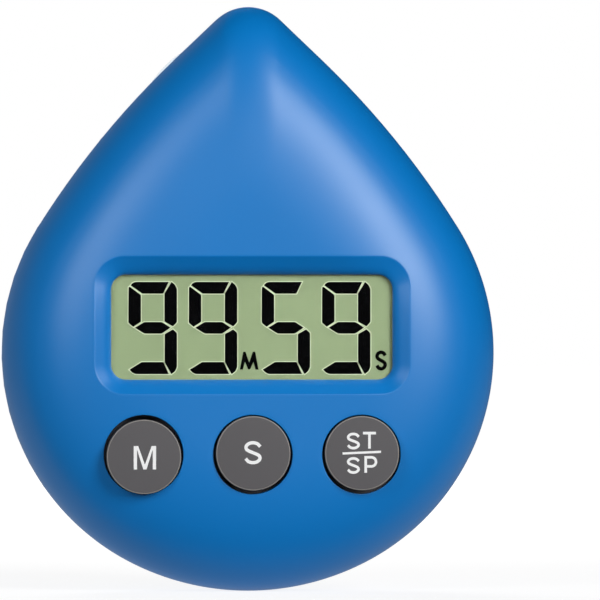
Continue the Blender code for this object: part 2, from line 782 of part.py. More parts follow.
def sound_holes():
    """Two rows of holes on either side, on arcs about one centre."""
    spots = []
    for radius, count, first, step in SOUND_ROWS:
        for k in range(count):
            angle = math.radians(first + step * k)
            drop = SOUND_CENTRE_DROP + radius * math.cos(angle)
            spots += [(side * radius * math.sin(angle), drop) for side in (-1, 1)]
    return rods("sound_holes", SOUND_HOLE_RADIUS, spots, -OVERSHOOT, REAR_WALL + OVERSHOOT, sides=12)


def rear_additions():
    """Walls, posts and seats that stand on the inside of the rear cover."""
    pocket_width = MAGNET_WIDTH + 2 * (SLIDE_GAP + POCKET_WALL)
    pocket_height = MAGNET_HEIGHT + 2 * (SLIDE_GAP + POCKET_WALL)
    pocket = rounded_rectangle(pocket_width, pocket_height, MAGNET_CORNER + POCKET_WALL, -MAGNET_DROP)
    margin = 2 * (SLIDE_GAP + SHELF_MARGIN)
    shelf = rounded_rectangle(DOOR_WIDTH + margin, DOOR_HEIGHT + margin, DOOR_CORNER, -DOOR_DROP)
    head_guide = stadium(CUP_HEAD_RADIUS + KEYHOLE_GAP + POCKET_WALL, 0, -CUP_REST_DROP, -CUP_NECK_DROP)
    notch = notch_outline(SHELF_MARGIN, SHELF_MARGIN)
    post_top = REAR_DEPTH - PARTING_GAP - SEAT_GAP
    ring_radius = BUZZER_RADIUS + BUZZER_RING_WALL / 2
    return (
        plate("magnet_seat", [pocket], WALL_BITE, MAGNET_FLOOR + POCKET_WALL),
        plate("head_guide", [head_guide], WALL_BITE, KEYHOLE_WALL_HEIGHT),
        plate("door_shelf", [shelf], WALL_BITE, SHELF_TOP),
        plate("notch_shelf", [notch], WALL_BITE, SHELF_TOP - SEAT_GAP),
        trough("bay_outer", BAY_RADIUS + BAY_WALL, BAY_HALF + BAY_WALL, WALL_BITE),
        rods("case_posts", SCREW_POST_RADIUS, CASE_SCREWS, WALL_BITE, post_top),
        rods("buzzer_ring", ring_radius, [(0, BUZZER_DROP)], WALL_BITE, BUZZER_RING_HEIGHT, sides=32),
    )


def hook_slot(side):
    """Room under the edge of the door opening for one hook and its swing."""
    half = HOOK_WIDTH / 2 + KEYHOLE_GAP
    swing = math.hypot(HOOK_REACH, REBATE_DEPTH + SLIDE_GAP + HOOK_THICKNESS)
    low = (side * HOOK_X - half, -DOOR_TOP_DROP - swing - SLIDE_GAP, REBATE_DEPTH - SEAT_GAP)
    high = (side * HOOK_X + half, -DOOR_TOP_DROP + HOOK_REACH + 2 * SLIDE_GAP, swing + SLIDE_GAP)
    return block(f"hook_slot_{'left' if side < 0 else 'right'}", low, high)


def tab_slot(side):
    """The opening in one end wall of the bay, which a contact's tab goes through."""
    inner = side * (BAY_HALF - PLAY_GAP)
    outer = side * (BAY_HALF + BAY_WALL + PLAY_GAP)
    half = TAB_WIDTH / 2 + PLAY_GAP
    tab_low = BATTERY_AXIS + TAB_WIDTH
    low = (min(inner, outer), -DOOR_DROP - half, tab_low - PLAY_GAP)
    high = (max(inner, outer), -DOOR_DROP + half, tab_low + CONTACT_THICKNESS + PLAY_GAP)
    return block(f"tab_slot_{'left' if side < 0 else 'right'}", low, high)


def rear_cover():
    """The flat-backed shell that closes the case."""
    lip = FRONT_WALL + LIP_CLEARANCE
    lip_top = REAR_DEPTH + LIP_HEIGHT
    seam = REAR_DEPTH - PARTING_GAP
    outside = [
        [(x, y, lip_top) for x, y in drop_outline(lip)],
        [(x, y, seam) for x, y in drop_outline(lip)],
        [(x, y, seam) for x, y in drop_outline(0.0)],
        *border_rings(0.0, 0.0),
    ]
    inside = [
        [(x, y, lip_top + OVERSHOOT) for x, y in drop_outline(lip + LIP_WALL)],
        [(x, y, REAR_DEPTH - EDGE_BAND / 2) for x, y in drop_outline(lip + LIP_WALL)],
        *border_rings(REAR_WALL, REAR_WALL),
    ]
    body = loft("rear_cover", outside[::-1], BLUE_ABS, smooth=True)
    cut(body, loft("rear_hollow", inside[::-1]))
    join(body, *rear_additions())

    around = 2 * SLIDE_GAP
    recess = rounded_rectangle(
        MAGNET_WIDTH + around, MAGNET_HEIGHT + around, MAGNET_CORNER + SLIDE_GAP, -MAGNET_DROP
    )
    opening = rounded_rectangle(
        DOOR_WIDTH + around, DOOR_HEIGHT + around, DOOR_CORNER + SLIDE_GAP, -DOOR_DROP
    )
    head_room = stadium(CUP_HEAD_RADIUS + KEYHOLE_GAP, 0, -CUP_REST_DROP, -CUP_NECK_DROP)
    cut(
        body,
        plate("magnet_recess", [recess], -OVERSHOOT, MAGNET_FLOOR),
        plate("door_rebate", [opening], -OVERSHOOT, REBATE_DEPTH),
        plate("finger_notch", [notch_outline(0.0, 0.0)], -OVERSHOOT, REBATE_DEPTH - SEAT_GAP / 2),
        trough("bay_inner", BAY_RADIUS, BAY_HALF, -OVERSHOOT),
        plate("keyhole", [keyhole_outline()], -OVERSHOOT, REAR_WALL + OVERSHOOT),
        plate("head_room", [head_room], KEYHOLE_PLATE, KEYHOLE_WALL_HEIGHT + OVERSHOOT),
        rods("screw_wells", SCREW_WELL_RADIUS, CASE_SCREWS, -OVERSHOOT, SCREW_WELL_DEPTH, sides=20),
        rods(
            "screw_ways",
            CASE_SCREW_RADIUS + SLIDE_GAP,
            CASE_SCREWS,
            SCREW_WELL_DEPTH - SLIDE_GAP,
            REAR_DEPTH + OVERSHOOT,
            sides=12,
        ),
        sound_holes(),
        rods("buzzer_hole", BUZZER_HOLE_RADIUS, [(0, BUZZER_DROP)], -OVERSHOOT, REAR_WALL + OVERSHOOT),
        rods(
            "buzzer_chamber",
            BUZZER_RADIUS - BUZZER_RING_WALL / 2,
            [(0, BUZZER_DROP)],
            REAR_WALL - SEAT_GAP,
            BUZZER_RING_HEIGHT + OVERSHOOT,
            sides=32,
        ),
        *(hook_slot(side) for side in (-1, 1)),
        *(tab_slot(side) for side in (-1, 1)),
    )


# Display


def display():
    """Lens, the two glasses, the reflector and the rubber connector, from front to back."""
    glass_top = -GLASS_DROP + GLASS_HEIGHT / 2
    seen_height = GLASS_HEIGHT - CONTACT_LEDGE
    seen_drop = GLASS_DROP + CONTACT_LEDGE / 2
    whole = rounded_rectangle(GLASS_WIDTH, GLASS_HEIGHT, SLIDE_GAP, -GLASS_DROP, steps=2)
    seen = rounded_rectangle(GLASS_WIDTH, seen_height, SLIDE_GAP, -seen_drop, steps=2)
    film_width = GLASS_WIDTH - 2 * REFLECTOR_MARGIN
    film_height = seen_height - 2 * REFLECTOR_MARGIN
    film = rounded_rectangle(film_width, film_height, SLIDE_GAP, -seen_drop, steps=2)
    stack = (
        ("display_lens", whole, LENS_BACK, LENS_THICKNESS, CLEAR_ACRYLIC),
        ("lcd_front_glass", whole, FRONT_GLASS_BACK, GLASS_THICKNESS, DISPLAY_GLASS),
        ("lcd_rear_glass", seen, REAR_GLASS_BACK, GLASS_THICKNESS, DISPLAY_GLASS),
        ("lcd_reflector", film, REFLECTOR_BACK, REFLECTOR_THICKNESS, REFLECTOR_FILM),
    )
    for name, outline, back, thickness, finish in stack:
        plate(name, [outline], back, back + thickness, finish)
    block(
        "zebra_strip",
        (-ZEBRA_WIDTH / 2, glass_top - SLIDE_GAP - ZEBRA_DEPTH, ZEBRA_BASE),
        (ZEBRA_WIDTH / 2, glass_top - SLIDE_GAP, ZEBRA_BASE + ZEBRA_HEIGHT),
        ZEBRA_RUBBER,
    )


# Buttons


def button(name, x):
    """A hollow cap with a retaining flange and a post that presses the switch dome."""
    y = -BUTTON_DROP - BUTTON_SAG
    top = face_height(x, -BUTTON_DROP) + BUTTON_PROUD
    radius = BUTTON_HOLE_RADIUS - BUTTON_CLEARANCE
    flange_radius = BUTTON_HOLE_RADIUS + FLANGE_OVERLAP
    shoulder = top - BUTTON_CROWN - BUTTON_EDGE_RADIUS
    roll = [math.radians(30 * k) for k in range(4)]
    edge = [
        (radius - BUTTON_EDGE_RADIUS * (1 - math.sin(a)), shoulder + BUTTON_EDGE_RADIUS * math.cos(a))
        for a in roll
    ]
    inner = radius - BUTTON_WALL
    ceiling = top - BUTTON_CROWN - BUTTON_WALL
    profile = [
        (0, top),
        (radius / 2, top - BUTTON_CROWN / 4),
        *edge,
        (radius, FLANGE_FRONT),
        (flange_radius, FLANGE_FRONT),
        (flange_radius, FLANGE_BACK),
        (inner, FLANGE_BACK),
        (inner, ceiling),
        (BUTTON_POST_RADIUS, ceiling),
        (BUTTON_POST_RADIUS, FLANGE_BACK),
        (0, FLANGE_BACK),
    ]
    heights = [(r, z - FLANGE_BACK) for r, z in profile]
    turned(f"{name}_button", heights, GREY_ABS, 40, (x, y, FLANGE_BACK))


def switch_dome(name, x):
    """The rubber dome between a cap and the board, hollow underneath."""
    skirt = DOME_FOOT_RADIUS - DOME_FOOT_WIDTH
    ceiling = DOME_HEIGHT - DOME_TOP_WALL
    profile = [
        (0, DOME_HEIGHT),
        (DOME_TOP_RADIUS, DOME_HEIGHT),
        (skirt, DOME_WALL),
        (DOME_FOOT_RADIUS, DOME_WALL),
        (DOME_FOOT_RADIUS, 0),
        (skirt - DOME_WALL, 0),
        (DOME_TOP_RADIUS - DOME_WALL, ceiling),
        (0, ceiling),
    ]
    turned(f"{name}_dome", profile, SWITCH_SILICONE, 20, (x, -BUTTON_DROP - BUTTON_SAG, SWITCH_BASE))


# Circuit board


def board_edge():
    """Shouldered outline of the board, narrower below to pass between the case screws."""
    side = [
        (BOARD_BOTTOM_HALF, -BOARD_BOTTOM_DROP),
        (BOARD_HALF, -BOARD_WAIST_DROP),
        (BOARD_HALF, -BOARD_SHOULDER_DROP),
        (BOARD_TOP_HALF, -BOARD_TOP_DROP),
    ]
    return side + [(-x, y) for x, y in side[::-1]]


def circuit_board():
    """The board with its screw holes and its two notches round the lower case bosses."""
    holes = [circle(BOARD_SCREW_RADIUS + SLIDE_GAP, x, -drop, 12) for x, drop in BOARD_SCREWS]
    body = plate("circuit_board", [board_edge(), *holes], BOARD_BACK, BOARD_FRONT, BOARD_LAMINATE)
    lower = [spot for spot in CASE_SCREWS if spot[1] == CASE_SCREW_LOWER_DROP]
    cut(
        body,
        rods(
            "board_notches",
            SCREW_BOSS_RADIUS + 2 * SLIDE_GAP,
            lower,
            BOARD_BACK - OVERSHOOT,
            BOARD_FRONT + OVERSHOOT,
        ),
    )


def board_parts():
    """Chip blob, crystal can, sounder coil and capacitor on the back of the board."""
    y = -PARTS_ROW_DROP
    top = BOARD_BACK - SEAT_GAP
    along_x = (0, math.radians(90), 0)
    blob = [(0, 0), (CHIP_RADIUS, 0)]
    rise = [math.radians(22.5 * k) for k in range(1, 5)]
    blob += [(CHIP_RADIUS * math.cos(a), -CHIP_HEIGHT * math.sin(a)) for a in rise[:-1]]
    blob += [(0, -CHIP_HEIGHT)]
    turned("chip_epoxy", blob, EPOXY, 24, (CHIP_X, y, top))
    can = [(0, CRYSTAL_LENGTH), (CRYSTAL_RADIUS, CRYSTAL_LENGTH), (CRYSTAL_RADIUS, 0), (0, 0)]
    turned("timing_crystal", can, STEEL, 16, (CRYSTAL_X, y, top - CRYSTAL_RADIUS), along_x)
    waist = COIL_RADIUS - COIL_FLANGE
    drum = [
        (0, 0),
        (COIL_RADIUS, 0),
        (COIL_RADIUS, -COIL_FLANGE),
        (waist, -COIL_FLANGE),
        (waist, COIL_FLANGE - COIL_HEIGHT),
        (COIL_RADIUS, COIL_FLANGE - COIL_HEIGHT),
        (COIL_RADIUS, -COIL_HEIGHT),
        (0, -COIL_HEIGHT),
    ]
    turned("buzzer_coil", drum, COIL_BLACK, 20, (COIL_X, y, top))
    block(
        "capacitor",
        (CAPACITOR_X - CAPACITOR_WIDTH / 2, y - CAPACITOR_DEPTH / 2, top - CAPACITOR_HEIGHT),
        (CAPACITOR_X + CAPACITOR_WIDTH / 2, y + CAPACITOR_DEPTH / 2, top),
        CHIP_TAN,
    )


# Screws


def screw(name, x, drop, seat, head_radius, head_height, radius, length):
    """A pan-head screw that is driven from behind, its head under the seat height."""
    bevel = head_height / 3
    point = radius * 0.5
    profile = [
        (0, length),
        (point, length),
        (radius, length - 2 * radius),
        (radius, 0),
        (head_radius, 0),
        (head_radius, -head_height + bevel),
        (head_radius - bevel, -head_height),
        (0, -head_height),
    ]
    turned(name, profile, STEEL, 16, (x, -drop, seat - SEAT_GAP))


def screws():
    """Four close the case and four hold the board."""
    for k, (x, drop) in enumerate(CASE_SCREWS, start=1):
        size = (CASE_SCREW_HEAD_RADIUS, CASE_SCREW_HEAD_HEIGHT, CASE_SCREW_RADIUS, CASE_SCREW_LENGTH)
        screw(f"case_screw_{k}", x, drop, SCREW_WELL_DEPTH, *size)
    for k, (x, drop) in enumerate(BOARD_SCREWS, start=1):
        length = BOARD_THICKNESS + BOARD_SCREW_BITE
        size = (BOARD_SCREW_HEAD_RADIUS, BOARD_SCREW_HEAD_HEIGHT, BOARD_SCREW_RADIUS, length)
        screw(f"board_screw_{k}", x, drop, BOARD_BACK, *size)


# Battery, contacts and door


def battery():
    """A slim cell that lies along the bay, its button end to the right."""
    shoulder = BATTERY_LENGTH - BATTERY_NUB_HEIGHT
    profile = [
        (0, BATTERY_LENGTH),
        (BATTERY_NUB_RADIUS, BATTERY_LENGTH),
        (BATTERY_NUB_RADIUS, shoulder),
        (BATTERY_RADIUS - BATTERY_ROUNDING, shoulder),
        (BATTERY_RADIUS, shoulder - BATTERY_ROUNDING),
        (BATTERY_RADIUS, BATTERY_ROUNDING),
        (BATTERY_RADIUS - BATTERY_ROUNDING, 0),
        (0, 0),
    ]
    start = (BATTERY_END - BATTERY_LENGTH, -DOOR_DROP, BATTERY_AXIS)
    turned("aaa_battery", profile, BATTERY_SLEEVE, 32, start, (0, math.radians(90), 0))


def contact(name, side):
    """A contact plate against one end of the bay, with a tab out through the wall."""
    near = side * CONTACT_X
    far = side * (CONTACT_X + CONTACT_THICKNESS)
    half = CONTACT_WIDTH / 2
    body = block(
        name,
        (min(near, far), -DOOR_DROP - half, BATTERY_AXIS - half),
        (max(near, far), -DOOR_DROP + half, BATTERY_AXIS + half),
        STEEL,
    )
    tab_start = side * (CONTACT_X + CONTACT_THICKNESS / 2)
    tab_end = side * (BAY_HALF + BAY_WALL + TAB_REACH)
    tab_low = BATTERY_AXIS + TAB_WIDTH
    join(
        body,
        block(
            name + "_tab",
            (min(tab_start, tab_end), -DOOR_DROP - TAB_WIDTH / 2, tab_low),
            (max(tab_start, tab_end), -DOOR_DROP + TAB_WIDTH / 2, tab_low + CONTACT_THICKNESS),
        ),
    )
    return body


def contacts():
    """Dimpled plate at the button end, plate and coil spring at the flat end."""
    positive = contact("contact_plate_positive", 1)
    dimple = turned(
        "contact_dimple",
        [(0, CONTACT_DIMPLE), (BATTERY_NUB_RADIUS / 2, CONTACT_DIMPLE), (BATTERY_NUB_RADIUS, 0)]
        + [(BATTERY_NUB_RADIUS, -CONTACT_THICKNESS / 2), (0, -CONTACT_THICKNESS / 2)],
        None,
        20,
        (CONTACT_X, -DOOR_DROP, BATTERY_AXIS),
        (0, math.radians(-90), 0),
    )
    join(positive, dimple)
    contact("contact_plate_negative", -1)
    start = -CONTACT_X + PLAY_GAP + SPRING_WIRE
    end = BATTERY_END - BATTERY_LENGTH - PLAY_GAP - SPRING_WIRE
    count = SPRING_TURNS * SPRING_STEPS
    turns = [2 * math.pi * k / SPRING_STEPS for k in range(count + 1)]
    coil = [
        (
            start + (end - start) * k / count,
            -DOOR_DROP + SPRING_RADIUS * math.cos(a),
            BATTERY_AXIS + SPRING_RADIUS * math.sin(a),
        )
        for k, a in enumerate(turns)
    ]
    tube("contact_spring", coil, SPRING_WIRE, STEEL)
    print_least_gap("contact_spring", coil, SPRING_STEPS, SPRING_WIRE)


def print_least_gap(name, points, turn_steps, radius):
    """The least clear gap between neighbouring turns of a coil."""
    at = np.array(points)
    least = min(
        float(np.linalg.norm(at[i + turn_steps - k] - at[i]))
        for k in (-1, 0, 1)
        for i in range(len(at) - turn_steps - 1)
    )
    print(f"{name}: least gap between turns {1000 * (least - 2 * radius):.2f} mm")


def battery_door():
    """The door with its latch tongue, grip slot and two hooks, swung about its upper outer edge."""
    top = -DOOR_TOP_DROP
    bottom = -DOOR_BOTTOM_DROP
    plain = rounded_rectangle(DOOR_WIDTH, DOOR_HEIGHT, DOOR_CORNER, -DOOR_DROP - top)
    body = plate("battery_door", [plain], 0, DOOR_THICKNESS, BLUE_ABS, (0, top, 0))
    half = HOOK_WIDTH / 2
    arm_low = REBATE_DEPTH + SLIDE_GAP
    join(
        body,
        block(
            "latch_tongue",
            (-TONGUE_HALF, bottom - TONGUE_LENGTH, 0.0),
            (TONGUE_HALF, bottom + DOOR_CORNER, DOOR_THICKNESS - SEAT_GAP),
        ),
    )
    for side in (-1, 1):
        hook = block(
            f"hook_arm_{'left' if side < 0 else 'right'}",
            (side * HOOK_X - half, top - HOOK_ROOT, arm_low),
            (side * HOOK_X + half, top + HOOK_REACH, arm_low + HOOK_THICKNESS),
        )
        root = block(
            f"hook_root_{'left' if side < 0 else 'right'}",
            (side * HOOK_X - half, top - HOOK_ROOT, DOOR_THICKNESS / 2),
            (side * HOOK_X + half, top - SLIDE_GAP, arm_low + HOOK_THICKNESS / 2),
        )
        join(body, root, hook)
    slot_corner = (DOOR_SLOT_HEIGHT - SEAT_GAP) / 2
    slot = rounded_rectangle(DOOR_SLOT_WIDTH, DOOR_SLOT_HEIGHT, slot_corner, bottom + DOOR_SLOT_EDGE)
    cut(body, plate("grip_slot", [slot], -OVERSHOOT, DOOR_SLOT_DEPTH))


# Magnet, sounder, suction cup and leads


def magnet():
    """The flat magnet in its recess, on its adhesive pad."""
    outline = rounded_rectangle(MAGNET_WIDTH, MAGNET_HEIGHT, MAGNET_CORNER, 0)
    inner = MAGNET_THICKNESS - MAGNET_PROUD
    plate("magnet", [outline], -MAGNET_PROUD, inner, MAGNET_FERRITE, (0, -MAGNET_DROP, 0))
    pad = rounded_rectangle(
        MAGNET_WIDTH - 2 * TAPE_MARGIN, MAGNET_HEIGHT - 2 * TAPE_MARGIN, MAGNET_CORNER, -MAGNET_DROP
    )
    plate("magnet_tape", [pad], inner + SEAT_GAP, inner + SEAT_GAP + TAPE_THICKNESS, TAPE_FOAM)


def sounder():
    """Brass disc with its ceramic layer, glued on the ring over the sound hole."""
    spot = [(0, BUZZER_DROP)]
    brass = BUZZER_RING_HEIGHT + SEAT_GAP
    ceramic = brass + BUZZER_THICKNESS + SEAT_GAP / 2
    rods("buzzer_disc", BUZZER_RADIUS, spot, brass, brass + BUZZER_THICKNESS, BRASS, 32)
    rods("buzzer_ceramic", CERAMIC_RADIUS, spot, ceramic, ceramic + BUZZER_THICKNESS, CERAMIC, 28)


def suction_cup():
    """The clear cup: mushroom head in the case, neck through the keyhole, dish behind."""
    head_low = REAR_WALL + SLIDE_GAP
    head_top = head_low + CUP_HEAD_HEIGHT
    reach = CUP_RADIUS - CUP_NECK_RADIUS
    fall = CUP_DEPTH - CUP_WALL / 2
    rim = -CUP_STANDOFF - CUP_DEPTH
    hollow_radius = CUP_RADIUS - CUP_RIM_WIDTH
    hollow_depth = CUP_DEPTH - 2 * CUP_WALL
    shares = [k / CUP_SAMPLES for k in range(1, CUP_SAMPLES + 1)]
    profile = [
        *((CUP_HEAD_RADIUS * out, head_top - CUP_HEAD_HEIGHT * down) for out, down in CUP_HEAD_SHAPE),
        (CUP_NECK_RADIUS, head_low),
        (CUP_NECK_RADIUS, -CUP_STANDOFF),
        *((CUP_NECK_RADIUS + reach * s, -CUP_STANDOFF - fall * s**CUP_BACK_POWER) for s in shares),
        (CUP_RADIUS, rim),
        *((hollow_radius * s, rim + hollow_depth * (1 - s**CUP_HOLLOW_POWER)) for s in shares[::-1]),
        (0, rim + hollow_depth),
    ]
    turned("suction_cup", profile, CLEAR_PVC, 48, (0, -CUP_REST_DROP, 0))


def lead(name, side, start, bow, rise, route, finish):
    """One lead from its start, mirrored to a side, along its route to the back of the board."""
    x, y, height = start
    climb = BOARD_BACK - LEAD_END_GAP - height
    knots = [(side * (x + bow * a), y + rise * b, height + climb * c) for a, b, c in route]
    tube(name, smooth_route(knots), LEAD_RADIUS, finish)


def leads():
    """Two leads from the battery contacts and two from the sounder, to the back of the board."""
    tab_end = BAY_HALF + BAY_WALL + TAB_REACH + LEAD_END_GAP
    tab = (tab_end, -DOOR_DROP, BATTERY_AXIS + TAB_WIDTH + CONTACT_THICKNESS / 2)
    disc_top = BUZZER_RING_HEIGHT + 2 * SEAT_GAP + 2 * BUZZER_THICKNESS + LEAD_END_GAP
    solder = (SOLDER_X, -BUZZER_DROP, disc_top)
    for colour, side, finish in (("red", 1, LEAD_RED), ("black", -1, LEAD_BLACK)):
        battery_way = (BATTERY_LEAD_BOW, BATTERY_LEAD_RISE, BATTERY_LEAD_ROUTE)
        sounder_way = (SOUNDER_LEAD_BOW, SOUNDER_LEAD_RISE, SOUNDER_LEAD_ROUTE)
        lead(f"battery_wire_{colour}", side, tab, *battery_way, finish)
        lead(f"buzzer_wire_{colour}", side, solder, *sounder_way, finish)


front_housing()
rear_cover()
display()
for button_name, button_x in BUTTONS:
    button(button_name, button_x)
    switch_dome(button_name, button_x)
circuit_board()
board_parts()
screws()
battery()
contacts()
battery_door()
magnet()
sounder()
suction_cup()
leads()
case_width = 2 * max(x for x, _ in drop_outline())
print(f"case {1000 * case_width:.1f} x {1000 * CASE_HEIGHT:.1f} x {1000 * FACE_HEIGHT:.1f} mm")
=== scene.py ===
# %% [markdown]
# # A drop-shaped kitchen timer, from imported solids to a finished picture
#
# The timer is a blue moulded case of two halves, with a liquid-crystal display sunk into its face,
# three grey push buttons under it, and on its flat back a magnet, a battery door and a clear
# suction cup. The imported model gives every piece its true place. This script dresses it: it makes
# finer surfaces for what the eye lingers on, gives each material what the real one shows, and
# lights the whole for a studio picture.
#
# The first cell loads the imported model and keeps its box, whose lowest point later sets the
# floor's level. Its box is kept, because the finished pieces have to stay inside it.

# %% Load the frame
import math

import bmesh
import bpy
import numpy as np
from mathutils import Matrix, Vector
from mathutils.geometry import delaunay_2d_cdt


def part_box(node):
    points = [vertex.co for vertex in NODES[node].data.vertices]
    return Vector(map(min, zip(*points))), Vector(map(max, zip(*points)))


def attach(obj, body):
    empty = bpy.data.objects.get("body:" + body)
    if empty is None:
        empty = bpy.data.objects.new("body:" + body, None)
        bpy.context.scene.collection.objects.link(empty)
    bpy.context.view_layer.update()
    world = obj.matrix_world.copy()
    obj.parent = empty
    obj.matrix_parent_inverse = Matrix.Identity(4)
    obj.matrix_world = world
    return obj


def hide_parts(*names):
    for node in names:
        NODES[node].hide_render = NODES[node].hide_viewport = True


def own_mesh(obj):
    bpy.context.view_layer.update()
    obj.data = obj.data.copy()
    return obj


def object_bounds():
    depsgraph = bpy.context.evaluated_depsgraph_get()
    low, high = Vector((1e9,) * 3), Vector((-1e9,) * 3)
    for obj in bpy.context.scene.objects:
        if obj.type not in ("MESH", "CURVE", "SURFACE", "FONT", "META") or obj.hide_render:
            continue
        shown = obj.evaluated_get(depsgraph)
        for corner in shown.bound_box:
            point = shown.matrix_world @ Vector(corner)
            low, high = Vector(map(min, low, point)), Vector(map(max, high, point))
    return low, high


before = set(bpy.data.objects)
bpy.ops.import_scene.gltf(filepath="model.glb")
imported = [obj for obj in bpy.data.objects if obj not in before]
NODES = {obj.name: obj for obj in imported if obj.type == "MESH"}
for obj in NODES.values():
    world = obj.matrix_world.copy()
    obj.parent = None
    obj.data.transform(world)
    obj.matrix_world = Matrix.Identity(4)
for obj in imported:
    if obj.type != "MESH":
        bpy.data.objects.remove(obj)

CAD_BOX = [list(corner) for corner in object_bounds()]
print("nodes in the frame:", len(NODES), "box:", np.round(CAD_BOX, 4).tolist())

# %% [markdown]
# ## Millimetres in the case's own frame
#
# The case is drawn the way its mould is: x to the right, y up from the tip of the drop, and a
# height above the flat back. Positions below the tip are called drops. The scene's origin is the
# middle of the magnet's outer face, and the display looks towards -Y. One function stands case
# points upright there and turns millimetres into metres.

# %% From the case's frame to the scene
MAGNET_PROUD = 0.3
MAGNET_DROP = 33.8


def upright(points):
    """Case points (x, y, height) in mm as (x, -proud - height, drop + y) in m, for the magnet."""
    x, y, height = np.moveaxis(np.asarray(points, float), -1, 0)
    return np.stack((x, -MAGNET_PROUD - height, MAGNET_DROP + y), axis=-1) / 1000


# %% [markdown]
# ## Meshes from arrays
#
# A shape here is a grid of points that numpy works out in one go. Joining each point to its
# neighbours makes a skin of four-sided faces. Blocks of skin that share their border points are
# welded into one closed body, and its normals are then turned outwards.

# %% Grids into faces, faces into a piece
WELD_M = 2e-7


def grid_faces(rows, columns):
    """Each face joins a point, its neighbour in the row and the two in the next row.

    The last column's neighbour is the first.
    """
    row = np.arange(rows - 1)[:, None]
    column = np.arange(columns)[None, :]
    after = (column + 1) % columns
    corners = (row * columns + column, row * columns + after)
    corners += ((row + 1) * columns + after, (row + 1) * columns + column)
    return np.stack(corners, axis=-1).reshape(-1, 4)


def make_piece(name, blocks, material, body, stands_for=(), slot=None, sharp=40.0, weld=True):
    """One closed piece on a CAD body, from blocks of points in the scene and arrays of faces.

    Blocks that share border points are welded there. Plates that only touch stay apart.
    """
    points, faces = [], []
    for block_points, *groups in blocks:
        for group in groups:
            faces += (group + len(points)).tolist()
        points += block_points.tolist()
    mesh = bpy.data.meshes.new(name)
    mesh.from_pydata(points, [], faces)
    shell = bmesh.new()
    shell.from_mesh(mesh)
    if weld:
        bmesh.ops.remove_doubles(shell, verts=shell.verts, dist=WELD_M)
    bmesh.ops.recalc_face_normals(shell, faces=shell.faces)
    loose = sum(1 for edge in shell.edges if len(edge.link_faces) != 2)
    shell.to_mesh(mesh)
    shell.free()
    print(f"{name}: {len(mesh.polygons)} faces, {loose} edges not between two faces")
    return finish_piece(name, mesh, material, body, stands_for, sharp)


def finish_piece(name, mesh, material, body, stands_for, sharp):
    """Smooths a mesh up to an angle, gives it its material, and hangs it on a body."""
    mesh.shade_smooth()
    mesh.set_sharp_from_angle(angle=math.radians(sharp))
    mesh.materials.clear()
    mesh.materials.append(material)
    piece = bpy.data.objects.new(name, mesh)
    bpy.context.scene.collection.objects.link(piece)
    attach(piece, body)
    if stands_for:
        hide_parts(*stands_for)
    return piece


# %% [markdown]
# ## Colours and nodes
#
# Colours are written as they look on a screen, as hex values, and one function makes them linear,
# which is what a shader wants. Another adds a node, sets it and links it. Settings that come back
# often are worked out once: two tones for a Mix node, and a span along an axis for a Math node.

# %% Colour and node helpers
COLOURS = {"data_type": "RGBA"}


def linear(hex_colour):
    """An sRGB hex colour as linear red, green, blue and alpha."""
    screen = np.array([int(hex_colour[i : i + 2], 16) for i in (1, 3, 5)]) / 255
    light = np.where(screen <= 0.04045, screen / 12.92, ((screen + 0.055) / 1.055) ** 2.4)
    return (*light.tolist(), 1.0)


def two_tones(first, second):
    """Settings for a mix of two hex colours, which are its inputs 6 and 7."""
    return {**COLOURS, "n_6": linear(first), "n_7": linear(second)}


def span(middle, half):
    """Settings for 1 within half a width of a middle and 0 outside, from millimetres."""
    return {"operation": "COMPARE", "n_1": middle / 1000, "n_2": half / 1000}


def feed(tree, node, **links):
    """Links sockets into a node's inputs; n_3 means input number 3."""
    for key, socket in links.items():
        target = int(key[2:]) if key.startswith("n_") else key.replace("_", " ")
        tree.links.new(socket, node.inputs[target])


def add(tree, kind, settings=None, **links):
    """Adds a node, sets its attributes or inputs, and links sockets into it."""
    node = tree.nodes.new("ShaderNode" + kind)
    for key, value in (settings or {}).items():
        if key.startswith("n_"):
            node.inputs[int(key[2:])].default_value = value
        elif key in node.inputs:
            node.inputs[key].default_value = value
        else:
            setattr(node, key, value)
    feed(tree, node, **links)
    return node


def new_material(name, **values):
    """A named Principled material and its tree, shader and Object coordinates."""
    material = bpy.data.materials.new(name)
    material.use_nodes = True
    tree = material.node_tree
    shader = tree.nodes["Principled BSDF"]
    for key, value in values.items():
        shader.inputs[key.replace("_", " ")].default_value = value
    where = add(tree, "TexCoord").outputs["Object"]
    return material, tree, shader, where


def per_mm(cycles):
    """A texture scale for so many cycles in a millimetre."""
    return 1000.0 * cycles


# %% [markdown]
# ## Moulded plastic
#
# The case is ABS, injection moulded in a tool whose face was finely spark-eroded. That leaves a
# satin grain of about a quarter of a millimetre, over very slight waves from the plastic's
# shrinkage. The grain softens reflections into broad bands. Handling polishes it unevenly, so the
# roughness wanders a little. Real grain is finer than a pixel here, so it is drawn at 0.25 mm.
# The grey buttons are the same plastic from a slightly rougher tool. Their rounded edges are
# painted paler, a painted highlight for the thin light line that a fine edge catches all round. A
# number stored on the points, rim, says where.

# %% Moulded ABS for the case and the buttons
ABS_IOR = 1.53
GRAIN_MM = 0.25
SHRINK_WAVE_MM = 9.0
POLISH_PATCH_MM = 22.0


